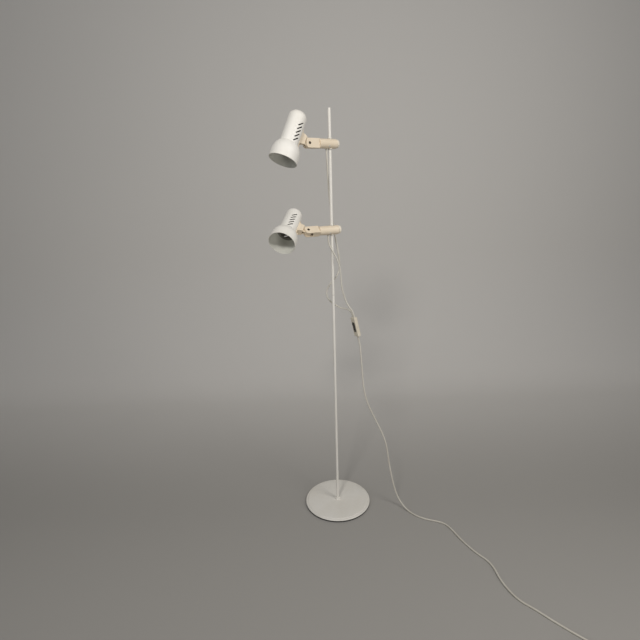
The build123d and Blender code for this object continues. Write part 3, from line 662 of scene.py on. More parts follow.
class Shade:
    """A spun shade with slanted vent slots on both sides and a rolled rim.

    The neck's grid leaves a window open on each side.  The window is cut into one tile to a slot:
    the lines between tiles run level at the window's sides and slant with the slots in between.
    """

    def __init__(self, name: LampName, frames: LampFrames, finishes: FinishLibrary) -> None:
        """Takes the lamp that it belongs to and the finishes."""
        self.name, self.frames, self.finishes = name, frames, finishes
        self.sizes, self.mesh = ShadeSizes(), ShadeGrid()

    def _bell(self, inset: float) -> list[Pair]:
        """The flare: an arc that starts at the step and ends level with the straight part.

        Its radius is its run squared plus its rise squared, over twice the rise.

        Args:
            inset: How far it lies inside the outer skin.

        Returns:
            (x, radius) points from the step to the straight part.
        """
        s = self.sizes
        straight = s.mouth - s.bell_straight
        low, high = s.neck_r + s.bell_step - inset, s.bell_r - inset
        rise, run = high - low, straight - s.bell_start
        radius = (run * run + rise * rise) / (2 * rise)
        sweep = math.degrees(math.asin(run / radius))
        return arc((straight, high - radius), radius, 90 + sweep, 90, self.mesh.bell_steps)

    def _end(self, inset: float) -> list[Pair]:
        """The closed end: a shallow cone and a round corner.

        The corner's middle lies one radius below the neck, and far enough along for its distance
        to the cone to be one radius as well.

        Args:
            inset: How far it lies inside the outer skin.

        Returns:
            (x, radius) points from the end's middle to the neck.
        """
        s = self.sizes
        back, neck, radius = s.mouth - s.length + inset, s.neck_r - inset, s.corner - inset
        slant = math.hypot(s.crown, neck)
        middle = (back + (radius * slant + (neck - radius) * s.crown) / neck, neck - radius)
        tilt = math.degrees(math.atan2(s.crown, neck))
        return [(back, 0.0)] + arc(middle, radius, 180 - tilt, 90, self.mesh.end_steps)

    def _borders(self, angle: Array) -> Array:
        """Lines between the tiles.

        Between two slots the line is their middle plus the height above the slots' middle line,
        held between minus and plus the reach; the first and the last line run level.

        Args:
            angle: Angles round the neck, from the side of the shade.

        Returns:
            (slots + 1, angles) places along the neck.
        """
        s, middles = self.sizes, self.sizes.slot_middles
        height = s.neck_r * np.sin(angle) + s.slot_drop
        shift = np.clip(height, -self.mesh.reach, self.mesh.reach) / math.tan(math.radians(s.slot_slant))
        lines = (middles[:-1] + middles[1:])[:, None] / 2 + shift
        tip = s.slot_half * math.cos(math.radians(s.slot_slant)) + s.slot_width / 2
        level = np.ones_like(angle)
        first, last = middles[0] - tip - s.slot_margin, middles[-1] + tip + s.slot_margin
        return np.vstack([first * level, lines, last * level])

    def _rows(self, angle: float) -> list[float]:
        """Rows of the neck's grid beside the windows.

        Args:
            angle: Which side of them.

        Returns:
            Places along the neck.
        """
        borders = self._borders(np.array([angle]))[:, 0]
        steps = np.arange(self.mesh.rows) / self.mesh.rows
        inner = borders[:-1, None] + np.diff(borders)[:, None] * steps
        return [*inner.ravel(), borders[-1]]

    def _slot_outline(self, middle: float) -> Array:
        """A slot's outline: two half circles joined by straight sides, turned by the slant.

        Args:
            middle: Its middle along the neck.

        Returns:
            (height, x) places, from the underside of its tip round to the start again.
        """
        s, m = self.sizes, self.mesh
        radius, half = s.slot_width / 2, s.slot_half
        tip = np.linspace(-math.pi / 2, 0, m.rows + 1)
        shoulder = np.linspace(0, math.pi / 2, m.cap_steps + 1)[1:]
        straight = np.linspace(half, -half, m.columns - m.cap_steps + 1)[1:]
        round_part = np.concatenate([tip, shoulder])
        along = np.concatenate([half + radius * np.cos(round_part), straight])
        across = np.concatenate([radius * np.sin(round_part), radius * np.ones_like(straight)])
        along, across = (np.concatenate([v[:-1], -v[:-1]]) for v in (along, across))
        turn = math.radians(90 - s.slot_slant)
        height = along * math.cos(turn) - across * math.sin(turn) - s.slot_drop
        return np.stack([height, middle + along * math.sin(turn) + across * math.cos(turn)], -1)

    def _tile_outline(self, index: int) -> Array:
        """A tile's edge, counted like its slot's outline.

        Args:
            index: Which slot's tile.

        Returns:
            (angle, x) places.
        """
        m = self.mesh
        angle = np.arange(m.last, m.first - 1, -1) * TAU / m.segments
        low, high = self._borders(angle)[index : index + 2]
        rise = np.arange(m.rows + 1) / m.rows
        right = np.stack([np.full(m.rows + 1, angle[0]), low[0] + (high[0] - low[0]) * rise], -1)
        left = np.stack([np.full(m.rows + 1, angle[-1]), high[-1] + (low[-1] - high[-1]) * rise], -1)
        top, bottom = np.stack([angle, high], -1), np.stack([angle, low], -1)[::-1]
        return np.concatenate([right[:-1], top[:-1], left[:-1], bottom[:-1]])

    def _on_neck(self, x: Array, angle: Array, radius: float) -> Array:
        """Places on the neck, in metres."""
        side, height = radius * np.cos(angle), radius * np.sin(angle)
        return np.stack([x, side, self.sizes.axis_height + height], -1) * MM

    def _wall_rings(self, index: int, radius: float, edge: float) -> Array:
        """Rings from a slot's outline to its tile's edge, by shares of the way between them.

        Args:
            index: Which slot.
            radius: The wall's radius.
            edge: How far the first ring is pressed in.

        Returns:
            A (rings, outline, 3) grid.
        """
        slot, tile = self._slot_outline(self.sizes.slot_middles[index]), self._tile_outline(index)
        slot_angle = np.arcsin(slot[:, 0] / radius)
        share = np.array(self.mesh.rings)[:, None]
        angle = slot_angle * (1 - share) + tile[:, 0] * share
        x = slot[:, 1] * (1 - share) + tile[:, 1] * share
        rings = self._on_neck(x, angle, radius)
        rings[0] = self._on_neck(x[0], slot_angle, radius - edge)
        return rings

    def _windows(self, surface: Surface) -> None:
        """Adds both walls round each slot, and the slot's own edge, on both sides of the neck.

        Args:
            surface: Where they go.
        """
        s = self.sizes
        for index in range(s.slots):
            outer = self._wall_rings(index, s.neck_r, s.slot_edge)
            inner = self._wall_rings(index, s.neck_r - s.wall, 0.0)
            edge = np.stack([inner[0], outer[0]])
            for mirror in (1, -1):
                for places, turned in ((outer, True), (inner, False), (edge, True)):
                    surface.grid(places * [1, mirror, 1], close_v=True, flip=turned == (mirror == 1))

    def _body(self, surface: Surface, before: list[Pair], rows: Callable[[float], list[Pair]],
              after: list[Pair]) -> None:
        """Turns a profile, with the neck's rows set for each side of the windows.

        Args:
            surface: Where it goes.
            before: Profile before the neck's rows.
            rows: Gives those rows for the angle of a window's side.
            after: Profile after them.
        """
        m = self.mesh
        column = np.arange(m.segments)
        in_window = np.isin(column, np.arange(m.first, m.last) % m.segments)
        in_window |= np.isin(column, m.segments // 2 - 1 - np.arange(m.first, m.last))
        above = (column >= m.last) & (column < m.segments // 2 - m.last)
        for side, columns in ((m.last, above | in_window), (m.first, ~above & ~in_window)):
            middle = rows(side * TAU / m.segments)
            profile = before + middle + after
            grid = lathe(profile, m.segments, Axis.X)
            grid[..., 2] += self.sizes.axis_height * MM
            keep = np.repeat(columns[None], len(profile) - 1, 0)
            neck = np.arange(len(profile) - 1)[:, None]
            opened = (neck >= len(before)) & (neck < len(before) + len(middle) - 1)
            surface.grid(grid, close_v=True, keep=keep & ~(opened & in_window))

    def build(self) -> bpy.types.Object:
        """Makes the shade and hides its CAD node.

        Returns:
            The shade's mesh object.
        """
        s = self.sizes
        surface = Surface()
        step = (s.bell_start - s.bell_step / 4, s.neck_r)
        bead_middle = (s.mouth - s.bead, s.bell_r + s.bell_flare - s.wall / 2)
        outer = [step] + self._bell(0) + arc(bead_middle, s.bead, *s.bead_turn, self.mesh.bead_steps)
        inner = self._bell(s.wall)[::-1] + [(step[0], step[1] - s.wall)]
        inner_r = s.neck_r - s.wall
        self._body(surface, self._end(0), lambda angle: [(x, s.neck_r) for x in self._rows(angle)],
                   outer + inner[:1])
        self._body(surface, inner, lambda angle: [(x, inner_r) for x in self._rows(angle)[::-1]],
                   self._end(s.wall)[::-1])
        self._windows(surface)
        lamp = self.name.value
        # The shade's materials: outer paint, inner paint with painted shade, and the neck's darker painted
        # shade.
        made = dress(surface.build(f"{lamp}_shade_skin", SHADE_CRISP, self.frames.head),
                     self.finishes.get(PAINT, INNER_PAINT_SHADED, NECK_PAINTED_SHADE), "white_paint", f"{lamp}_head",
                     [f"{lamp}_shade"])
        self._paint_inside(made)
        return made

    def _paint_inside(self, made: bpy.types.Object) -> None:
        """Gives the inner finishes to the faces that look at the shade's axis.

        A face is an inner one where its normal's radial part points inwards, or, near the middle
        of the closed end, where it points to the mouth.  Inner faces get the inner paint, darkened as painted
        shade, and behind the bell a still darker grey, painted shade of the unlit neck.

        Args:
            made: The shade.
        """
        inwards, middle_r, to_mouth, tiny = -0.2, 20.0, 0.5, 1e-9
        inverse = np.array(self.frames.head.inverted())
        centres = face_values(made.data, "center") @ inverse[:3, :3].T + inverse[:3, 3]
        normals = face_values(made.data, "normal") @ inverse[:3, :3].T
        from_axis = centres[:, 1:] - [0, self.sizes.axis_height * MM]
        radius = np.linalg.norm(from_axis, axis=1)
        outward = (from_axis * normals[:, 1:]).sum(1) / np.maximum(radius, tiny)
        inside = (outward < inwards) | ((radius < middle_r * MM) & (normals[:, 0] > to_mouth))
        # Inner faces behind the bell get the darker grey: painted shade of the unlit neck.
        painted_neck_shade = inside & (centres[:, 0] < (self.sizes.bell_start + self.sizes.bell_step) * MM)
        made.data.polygons.foreach_set("material_index", inside.astype(np.int32) + painted_neck_shade)


# -------- arm covers
@dataclass(frozen=True)
class Cover:
    """A push-in cover over a lamp's wires, in millimetres.

    Attributes:
        part: What it sits in.
        corners: Its (x, z) outline in that part's frame, anticlockwise seen from -y.
        half_width: Half its size along the tilt axis.
    """

    part: ArmPart
    corners: tuple[Pair, ...]
    half_width: float

    def build(self, name: LampName, frames: LampFrames, finishes: FinishLibrary) -> bpy.types.Object:
        """Makes one lamp's cover.

        The outline is swept from one side to the other, and each end is closed by one face.

        Args:
            name: Which lamp.
            frames: The lamp's frames.
            finishes: The finishes.

        Returns:
            The cover.
        """
        surface = Surface()
        sides = (-self.half_width, self.half_width)
        ring = np.array([[(x, y, z) for x, z in self.corners] for y in sides]) * MM
        surface.grid(ring, close_v=True, flip=True)
        for end, flip in ((0, False), (1, True)):
            surface.grid(ring[end][[0, 1, 3, 2]].reshape(2, 2, 3), flip=flip)
        body = f"{name.value}_{self.part.value}"
        made = surface.build(f"{body}_cover", PLATE_CRISP, getattr(frames, self.part.value))
        return dress(made, finishes.get(CREAM), "cream_plastic", body)


COVERS = (
    Cover(ArmPart.FORK, ((-39.3, -14.6), (-14.4, -14.6), (-14.4, -13.2), (-39.3, -13.2)), 6.6),
    Cover(ArmPart.HEAD, ((13.1, 17.3), (14.7, 17.3), (19.0, 31.8), (17.4, 31.8)), 7.45),
)


# -------- base and pole
@dataclass(frozen=True)
class BaseCover:
    """The round base's spun cover, in millimetres: plateau, step, level band, round edge and black painted
    shadow at its foot.

    Attributes:
        plateau: Radius of the raised middle.
        rings: Radii of the rings that divide it.
        step: Height of its step, and radius of the step's shoulder.
        groove: The fine groove at the step's foot, as heights over the band and distances from the plateau.
        edge: Radius of the round edge.
        wall: Sheet thickness.
        lip: Radius at the skirt's foot.
        painted_shadow_top: Top of the black band of painted shadow on the skirt's foot, from the floor.
        clearance: Gap round the pole's stud.
        segments: Points round it.
        edge_steps: Steps round the edge.
        fine_steps: Steps round the shoulder and the lip.
    """

    plateau: float = 121.0
    rings: tuple[float, ...] = (40.0, 80.0)
    step: float = 1.2
    groove: tuple[Pair, ...] = ((0.2, 1.1), (-0.5, 1.3), (-0.5, 1.9), (0.0, 2.1))
    edge: float = 4.0
    wall: float = 1.2
    lip: float = 0.5
    painted_shadow_top: float = 6.4
    clearance: float = 0.1
    segments: int = 192
    edge_steps: int = 12
    fine_steps: int = 4

    def _profile(self) -> list[Pair]:
        """The closed (z, radius) profile, from the stud's hole outwards and back along the inside.

        Returns:
            Its points, the first one again at the end.
        """
        low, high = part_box("base_cover")
        radius, top, bottom = (high[0] - low[0]) / 2 / MM, high[2] / MM, low[2] / MM
        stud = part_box("pole_stud")[1][0] / MM + self.clearance
        band, shoulder = top - self.step, self.plateau - self.step
        rounds = [arc((shoulder, band), self.step, 90, 45, self.fine_steps)[1:],
                  arc((radius - self.edge, band - self.edge), self.edge, 90, 0, self.edge_steps),
                  arc((radius - self.lip, bottom + self.lip), self.lip, 0, -90, self.fine_steps)]
        crest, edge, foot = ([(z, r) for r, z in points] for points in rounds)
        plateau = [(top, r) for r in (stud, *self.rings, shoulder)]
        groove = [(band + rise, self.plateau + out) for rise, out in self.groove]
        inside = [(bottom, radius - self.wall), (band - self.edge, radius - self.wall),
                  (band - self.wall, radius - self.edge), (band - self.wall, stud)]
        return plateau + crest + groove + edge + [(self.painted_shadow_top, radius)] + foot + inside + plateau[:1]

    def build(self, finishes: FinishLibrary) -> bpy.types.Object:
        """Makes the cover, with a black band of painted shadow on the faces of its skirt's foot.

        Args:
            finishes: The finishes.

        Returns:
            The cover.
        """
        surface = Surface()
        surface.grid(lathe(self._profile(), self.segments), close_v=True, flip=True)
        made = dress(surface.build("base_cover_skin", TURNED_CRISP), finishes.get(PAINT, RUBBER_AND_PAINTED_SHADOW),
                     "white_paint", "stand", ["base_cover"])
        # The skirt's lowest faces are black: painted shadow of the gap under the base.
        below = face_values(made.data, "center")[:, 2] < self.painted_shadow_top * MM
        made.data.polygons.foreach_set("material_index", below.astype(np.int32))
        return made


@dataclass(frozen=True)
class PoleSeam:
    """The thin metal ring that shows between the two pole tubes, in millimetres."""

    half_height: float = 0.4
    proud: float = 0.03
    depth: float = 0.3
    segments: int = 32

    def build(self, finishes: FinishLibrary) -> bpy.types.Object:
        """Makes the ring, a rectangle turned about the pole.

        Args:
            finishes: The finishes.

        Returns:
            The ring.
        """
        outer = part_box("pole_upper")[1][0] / MM + self.proud
        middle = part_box("pole_lower")[1][2] / MM
        low, high, inner = middle - self.half_height, middle + self.half_height, outer - self.depth
        surface = Surface()
        profile = [(low, inner), (low, outer), (high, outer), (high, inner), (low, inner)]
        surface.grid(lathe(profile, self.segments), close_v=True)
        return dress(surface.build("pole_seam_ring", TURNED_CRISP), finishes.get(STEEL), "steel", "stand")


# -------- switch
@dataclass(frozen=True)
class SwitchPlace:
    """Where the in-line switch hangs, and its sizes, in millimetres and degrees.

    Attributes:
        centre: Its middle.
        lean: Turn about the y axis; a negative one leans its top to the left.
        turn: Turn about its own length, before it leans.
        length: Length of its case.
        gland: Length of a lamp cord's gland.
        relief: Length of the mains lead's relief.
        cord_spacing: Distance of a lamp cord from its middle line.
    """

    centre: Triple = (80.0, 0.0, 747.0)
    lean: float = -12.0
    turn: float = 210.0
    length: float = 73.0
    gland: float = 4.0
    relief: float = 20.0
    cord_spacing: float = 4.5

    def matrix(self) -> Matrix:
        """Local-to-row matrix in millimetres, z along the switch and x out of its rocker.

        Returns:
            The matrix.
        """
        lean = Matrix.Rotation(math.radians(self.lean), 4, "Y")
        turn = Matrix.Rotation(math.radians(self.turn), 4, "Z")
        return Matrix.Translation(self.centre) @ lean @ turn

    def point(self, x: float, y: float, z: float) -> Triple:
        """A local point in the row frame, in millimetres."""
        return tuple(self.matrix() @ Vector((x, y, z)))


@dataclass(frozen=True)
class RockerBezel:
    """A thin black frame on the case round the rocker's window, in millimetres.

    Attributes:
        face: Height of the case's face over the switch's middle.
        height: How far the frame stands out of it.
        sunk: How far it goes in.
        window: Half width, half length and corner radius of its opening.
        top: The same of its upper outer edge.
        foot: The same of its lower outer edge.
        corner_steps: Steps round a corner.
    """

    face: float = 7.0
    height: float = 0.4
    sunk: float = 0.3
    window: Triple = (6.0, 15.0, 0.3)
    top: Triple = (7.2, 18.2, 1.5)
    foot: Triple = (7.4, 18.4, 1.7)
    corner_steps: int = 4

    def _ring(self, outline: Triple, x: float) -> list[Triple]:
        """A rectangle with round corners: four corner centres, and a quarter circle about each.

        Args:
            outline: Half width, half length and corner radius.
            x: Its height over the switch's middle.

        Returns:
            Its points, anticlockwise seen from outside.
        """
        half_y, half_z, corner = outline
        ring = []
        for start, sign_y, sign_z in ((0, 1, 1), (90, -1, 1), (180, -1, -1), (270, 1, -1)):
            centre = (sign_y * (half_y - corner), sign_z * (half_z - corner))
            ring += [(x, y, z) for y, z in arc(centre, corner, start, start + 90, self.corner_steps)]
        return ring

    def build(self, switch: SwitchPlace, finishes: FinishLibrary) -> bpy.types.Object:
        """Makes the frame from four rings, the last joined to the first.

        Args:
            switch: Where the switch hangs.
            finishes: The finishes.

        Returns:
            The frame.
        """
        low, high = self.face - self.sunk, self.face + self.height
        edges = ((self.window, low), (self.window, high), (self.top, high), (self.foot, low))
        rings = [self._ring(outline, x) for outline, x in edges]
        surface = Surface()
        surface.grid(np.array(rings + rings[:1]) * MM, close_v=True, flip=True)
        frame = switch.matrix()
        frame.translation = frame.translation * MM
        made = surface.build("switch_bezel", PLATE_CRISP, frame)
        return dress(made, finishes.get(BLACK), "black_plastic", "stand")


# -------- cords
STRAIGHT = 20.0  # straight start and end of each cord
LAMP_CORD = 5.5  # diameter of a lamp's cord
MAINS_LEAD = 6.0  # diameter of the mains lead
FLOOR_HEIGHT = 3.2  # middle of the mains lead where it lies
GROMMET = Vector((14.5 * MM, 0.0, -19.5 * MM))  # cord outlet, in the clamp's frame
SWITCH_NODES = ("switch_front", "switch_back", "switch_screws", "switch_rocker", "rocker_pin",
                "switch_terminals", "switch_glands")


@dataclass(frozen=True)
class CordRoute:
    """One cord's route and facts, in millimetres.

    Attributes:
        name: Piece name.
        nodes: CAD nodes that it replaces.
        points: Control points in the row frame.
        diameter: Outside diameter.
        length: Real length.
        far_end: What is on its far end.
        stiffness: How it bends.
        lay: How it lies.
        with_pieces: Pieces on it.
    """

    name: str
    nodes: tuple[str, ...]
    points: tuple[Triple, ...]
    diameter: float
    length: float
    far_end: str
    stiffness: str
    lay: str
    with_pieces: tuple[str, ...]


@dataclass(frozen=True)
class LampCord:
    """A lamp's cord: straight down from its grommet, along its own way, and straight into its gland.

    Attributes:
        name: Which lamp.
        way: Its own way.
        side: Which of the two glands it goes into, -1 or 1.
        length: Real length.
    """

    name: LampName
    way: tuple[Triple, ...]
    side: int
    length: float

    def route(self, frames: LampFrames, switch: SwitchPlace) -> CordRoute:
        """Joins its way to the lamp and the switch.

        Args:
            frames: The lamp's frames.
            switch: Where the switch hangs.

        Returns:
            The route.
        """
        start, end = frames.clamp @ GROMMET / MM, switch.length / 2 + switch.gland
        across = self.side * switch.cord_spacing
        points = ((start.x, start.y, start.z), (start.x, start.y, start.z - STRAIGHT), *self.way,
                  switch.point(0, across, end + STRAIGHT), switch.point(0, across, end))
        lamp = self.name.value
        return CordRoute(f"{lamp}_cord_tube", (f"{lamp}_cord",), points, LAMP_CORD, self.length, "fitting",
                         "limp", "hanging", SWITCH_NODES)


LAMP_CORDS = (
    # Down clear behind the lower arm, then a slack loop round the back of the pole.
    LampCord(LampName.UPPER, (
        (-9.8, -3.5, 1306), (-9, 5, 1268), (-6.8, 12, 1232), (-3.5, 19, 1190), (0.5, 28, 1157),
        (5, 35.5, 1126), (10, 38, 1092), (15, 38, 1060), (20, 38, 1031), (24.5, 37, 1003),
        (27.2, 35.5, 974), (25, 33.5, 950), (14, 31, 928), (-1, 26, 913), (-15, 19, 899), (-25, 12, 878),
        (-20, 9.5, 854), (-6, 14, 837), (11, 15, 825), (28, 11, 816), (43, 8, 815)), -1, 652.0),
    # Across the front of the pole and down to the switch.
    LampCord(LampName.LOWER, (
        (-6, -13, 1040), (8, -15.5, 1017), (20, -12.5, 990), (27.5, -8, 958), (29, -5, 926),
        (31, -4, 896), (38, -3.5, 868), (46, -3.8, 843), (57, -4, 822)), 1, 311.0),
)


@dataclass(frozen=True)
class Coil:
    """The put-away coil of the mains lead, in millimetres and degrees.

    Attributes:
        centre: Its middle on the floor.
        arrival: Where the lead arrives.
        turns: How many turns, clockwise from above.
        per_turn: Control points to a turn.
        outer: Radius of the outer turns.
        inner: Radius of the inner turns.
        raised: Height of the turns that lie on others.
        shift: Share of a turn in which it passes to the next one.
    """

    centre: Pair = (677.0, -695.7)
    arrival: float = 45.0
    turns: float = 3.3125
    per_turn: int = 16
    outer: float = 36.0
    inner: float = 30.0
    raised: float = 9.3
    shift: float = 0.2

    def points(self) -> list[Triple]:
        """Out on the floor, in on the floor, up on the inner turn, then out on the outer one.

        Radius and height pass to those of the next turn in the last share of each turn.

        Returns:
            Control points.
        """
        levels = [(self.outer, FLOOR_HEIGHT), (self.inner, FLOOR_HEIGHT), (self.inner, self.raised),
                  (self.outer, self.raised)]
        places = []
        for step in range(round(self.turns * self.per_turn) + 1):
            done = step / self.per_turn
            turn = min(int(done), len(levels) - 1)
            after = levels[min(turn + 1, len(levels) - 1)]
            blend = max(0.0, (done - turn - (1 - self.shift)) / self.shift)
            radius, height = (a + (b - a) * blend for a, b in zip(levels[turn], after))
            angle = math.radians(self.arrival) - done * TAU
            places.append((self.centre[0] + radius * math.cos(angle),
                           self.centre[1] + radius * math.sin(angle), height))
        return places

    def end(self) -> list[Triple]:
        """The lead's last two points, down off the coil to its plug."""
        x, y = self.centre
        return [(x - 6, y - 33.5, 8.2), (x - 17, y - 33, 7.2)]


def mains_route(switch: SwitchPlace) -> CordRoute:
    """Down from the switch, over the floor towards the front right, then the put-away coil.

    Args:
        switch: Where the switch hangs.

    Returns:
        The route.
    """
    start, coil = -switch.length / 2 - switch.relief, Coil()
    leaving = [switch.point(0, 0, start), switch.point(0, 0, start - STRAIGHT)]
    hanging = [(98, -3, 636), (102, -6, 580), (106, -9, 512), (118, -12, 450), (144, -15, 390),
               (172, -18, 330), (191, -21, 280), (199, -23, 233), (206, -26, 178), (217, -29, 118),
               (228, -31, 70), (241, -37, 34), (258, -56, 11)]
    lying = [(277, -83), (303, -112), (338, -132), (374, -143), (402, -160), (418, -193), (431, -231),
             (448, -270), (472, -312), (497, -343), (507, -378), (508, -418), (519, -466), (538, -507),
             (570, -536), (600, -571), (632, -605), (665, -637)]
    floor = [(x, y, FLOOR_HEIGHT) for x, y in lying]
    points = leaving + hanging + floor + coil.points() + coil.end()
    return CordRoute("mains_lead_tube", ("mains_lead", "mains_coil"), tuple(points), MAINS_LEAD, 2196.0,
                     "plug", "medium", "loose", ("plug_body", "plug_pins"))


class Cord:
    """A cord as a round tube along its route's smooth spline."""

    def __init__(self, route: CordRoute, finishes: FinishLibrary) -> None:
        """Takes the cord's route and the finishes."""
        self.route, self.finishes = route, finishes

    def _centre_line(self) -> Array:
        """The quadratic NURBS that has the route's points as its control points.

        Returns:
            Its points, in metres.
        """
        order, resolution, shortest = 3, 8, 1e-5
        curve = bpy.data.curves.new(self.route.name + "_route", "CURVE")
        curve.dimensions = "3D"
        spline = curve.splines.new("NURBS")
        spline.points.add(len(self.route.points) - 1)
        for point, place in zip(spline.points, self.route.points):
            point.co = (*(value * MM for value in place), 1)
        spline.order_u = order
        spline.use_endpoint_u = True
        spline.resolution_u = resolution
        holder = bpy.data.objects.new(curve.name, curve)
        mesh = bpy.data.meshes.new_from_object(holder)
        line = np.zeros(len(mesh.vertices) * 3)
        mesh.vertices.foreach_get("co", line)
        bpy.data.meshes.remove(mesh)
        bpy.data.objects.remove(holder)
        bpy.data.curves.remove(curve)
        line = line.reshape(-1, 3)
        return line[np.r_[True, np.linalg.norm(np.diff(line, axis=0), axis=1) > shortest]]

    def _tube(self, line: Array, sides: int = 14) -> Array:
        """A ring round each centre point, carried along without twist.

        Each ring's first direction is the last one with its part along the new tangent taken away.

        Args:
            line: The centre line.
            sides: Points in a ring.

        Returns:
            A (line, sides, 3) grid.
        """
        tangents = np.gradient(line, axis=0)
        tangents /= np.linalg.norm(tangents, axis=1)[:, None]
        aside = (0.31, 0.87, 0.38)
        first = np.cross(tangents[0], aside)
        rings, turn = [], np.arange(sides) * TAU / sides
        for centre, tangent in zip(line, tangents):
            first = first - tangent * (first @ tangent)
            first /= np.linalg.norm(first)
            second = np.cross(tangent, first)
            ring = np.outer(np.cos(turn), first) + np.outer(np.sin(turn), second)
            rings.append(centre + ring * self.route.diameter * MM / 2)
        return np.stack(rings)

    def build(self) -> tuple[bpy.types.Object, Array]:
        """Returns:
            The tube and its centre line.
        """
        route, line = self.route, self._centre_line()
        rings = self._tube(line)
        ends = [np.broadcast_to(line[end], rings[:1].shape) for end in (0, -1)]
        surface = Surface()
        surface.grid(np.concatenate([ends[0], rings, ends[1]]), close_v=True)
        made = dress(surface.build(route.name, TUBE_CRISP), self.finishes.get(CORD), "cord_pvc",
                     nodes=route.nodes)
        measured = float(np.linalg.norm(np.diff(line, axis=0), axis=1).sum())
        LOG.info("%s is %.0f mm long", route.name, measured / MM)
        return made, line


# -------- studio
@dataclass(frozen=True)
class ViewPoint:
    """The camera: place in metres, downward pitch and roll in degrees, and lens and sensor in millimetres."""

    place: Triple = (-0.0504, -1.6536, 1.2575)
    pitch: float = 16.222
    roll: float = -1.779
    lens: float = 26.505
    sensor: float = 36.0


@dataclass(frozen=True)
class StudioLamp:
    """A round soft lamp that looks at the heads: place and size in metres, power in watts."""

    name: str
    place: Triple
    size: float
    power: float
    colour: Triple


HEADS = Vector((-0.05, -0.05, 1.25))  # what the lamps look at
STUDIO_LAMPS = (
    StudioLamp("key", (-0.5, -1.6, 2.28), 0.35, 17.6, (1.0, 0.975, 0.94)),
    StudioLamp("right", (1.5, -1.25, 2.4), 1.0, 21.0, (1.0, 0.98, 0.95)),
    StudioLamp("left", (-2.4, -1.6, 1.8), 1.6, 7.8, (0.97, 0.985, 1.0)),
    StudioLamp("low", (1.3, -1.7, 0.5), 0.9, 8.0, (1.0, 0.975, 0.95)),
)
WORLD_COLOUR, WORLD_STRENGTH = (0.94, 0.96, 1.0, 1), 0.13


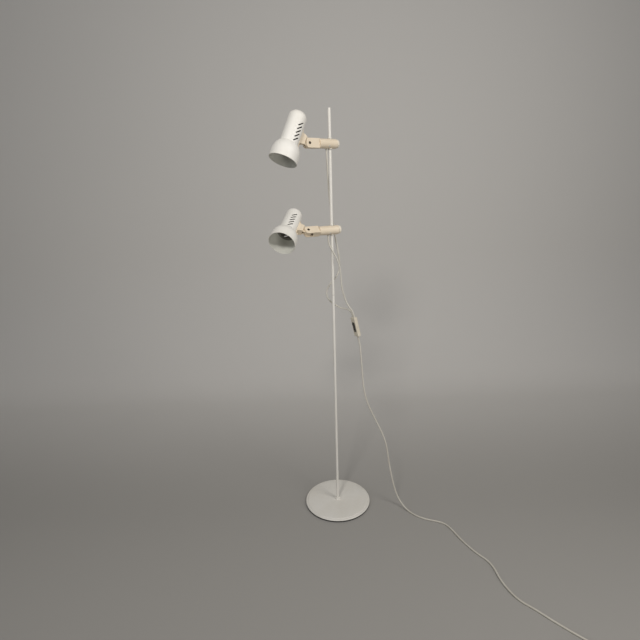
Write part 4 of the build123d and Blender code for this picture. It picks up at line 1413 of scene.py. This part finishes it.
class Studio:
    """Floor, backdrop, lamps and camera."""

    def __init__(self, view: ViewPoint) -> None:
        """Takes the camera's view."""
        self.view = view

    def build(self) -> None:
        """Sets up everything that isn't part of the object."""
        self._camera()
        self._room()
        for lamp in STUDIO_LAMPS:
            self._light(lamp)
        world = bpy.data.worlds.new("soft_world")
        world.use_nodes = True
        Wiring(world.node_tree).feed(world.node_tree.nodes["Background"],
                                     {"Color": WORLD_COLOUR, "Strength": WORLD_STRENGTH})
        bpy.context.scene.world = world
        bpy.context.scene.view_settings.view_transform = "Standard"

    def _camera(self) -> None:
        """Adds the camera, which looks along +y before its pitch and roll."""
        data = bpy.data.cameras.new("camera")
        data.lens, data.sensor_width = self.view.lens, self.view.sensor
        camera = bpy.data.objects.new("camera", data)
        pitch = Matrix.Rotation(math.radians(90 - self.view.pitch), 4, "X")
        roll = Matrix.Rotation(math.radians(self.view.roll), 4, "Z")
        camera.matrix_world = Matrix.Translation(self.view.place) @ pitch @ roll
        bpy.context.scene.collection.objects.link(camera)
        bpy.context.scene.camera = camera

    def _plain(self) -> bpy.types.Material:
        """Matt grey on the floor that turns lighter to the back and up the backdrop.

        The mix follows depth plus height, eased at both ends.

        Returns:
            The material.
        """
        material = bpy.data.materials.new("studio_grey")
        material.use_nodes = True
        wiring = Wiring(material.node_tree)
        reach = wiring.add("VectorMath", "Value", {0: wiring.add("TexCoord", "Object"), 1: (0.0, 1.0, 1.0)},
                           operation="DOT_PRODUCT")
        ease = wiring.add("MapRange", "Result", {"Value": reach, "From Min": -0.1, "From Max": 1.3},
                          interpolation_type="SMOOTHSTEP")
        grey = wiring.add("Mix", "Result", {"Factor": ease, "A": linear((164, 161, 156)),
                                            "B": linear((226, 223, 218))}, data_type="RGBA")
        wiring.feed(material.node_tree.nodes["Principled BSDF"], {"Base Color": grey, "Roughness": 0.9})
        return material

    def _room(self) -> None:
        """Adds a floor that curves up into a backdrop."""
        front, depth, radius, height, half, steps = -4.0, 1.7, 0.8, 5.0, 6.0, 24
        profile = [(front, 0.0), (depth - radius, 0.0)]
        profile += arc((depth - radius, radius), radius, -90, 0, steps)[1:] + [(depth, height)]
        surface = Surface()
        surface.grid(np.array([[(x, y, z) for x in (-half, half)] for y, z in profile]))
        room = surface.build("studio_floor", TUBE_CRISP)
        room.data.materials.append(self._plain())

    def _light(self, lamp: StudioLamp) -> None:
        """Adds one lamp.

        Args:
            lamp: Which one.
        """
        data = bpy.data.lights.new(lamp.name, "AREA")
        data.shape, data.size, data.energy, data.color = "DISK", lamp.size, lamp.power, lamp.colour
        light = bpy.data.objects.new(lamp.name, data)
        light.location = lamp.place
        light.rotation_mode = "QUATERNION"
        light.rotation_quaternion = (HEADS - light.location).to_track_quat("-Z", "Y")
        bpy.context.scene.collection.objects.link(light)


# -------- the whole lamp
class FloorLamp:
    """The dressed lamp."""

    def __init__(self, frame: dict) -> None:
        """Reads each lamp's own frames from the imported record.

        Args:
            frame: What load() gave.
        """
        self.frame = frame
        self.finishes = FinishLibrary()
        self.lamps = {name: LampFrames.read(name, frame["record"]) for name in LampName}

    def finish_nodes(self) -> None:
        """Gives every CAD node the finish of its material slot, or its own."""
        slots = {part["node"]: part["material_slot"] for part in self.frame["record"]["subparts"]}
        for name, node in self.frame["nodes"].items():
            piece = name.split("_", 1)[1]
            finish = FINISH_OF_PIECE.get(piece, FINISH_OF_SLOT[slots[name]])
            node.data.materials.clear()
            node.data.materials.append(*self.finishes.get(finish))
            node.data.shade_smooth()
            node.data.set_sharp_from_angle(angle=math.radians(CAD_CRISP))
            LOG.info("%s: %s", name, finish.name)

    def build(self) -> None:
        """Dresses the frame."""
        self.finish_nodes()
        for name, frames in self.lamps.items():
            Shade(name, frames, self.finishes).build()
            for cover in COVERS:
                cover.build(name, frames, self.finishes)
        BaseCover().build(self.finishes)
        PoleSeam().build(self.finishes)
        switch = SwitchPlace()
        RockerBezel().build(switch, self.finishes)
        for cord in LAMP_CORDS:
            tube, line = Cord(cord.route(self.lamps[cord.name], switch), self.finishes).build()
            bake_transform(tube)
        mains, _ = Cord(mains_route(switch), self.finishes).build()
        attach(mains, "stand")


def main() -> None:
    """Clears the scene, loads the frame, dresses it and sets up the studio."""
    bpy.ops.wm.read_factory_settings(use_empty=True)
    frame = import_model()
    FloorLamp(frame).build()
    Studio(ViewPoint()).build()


if __name__ == "__main__":
    main()
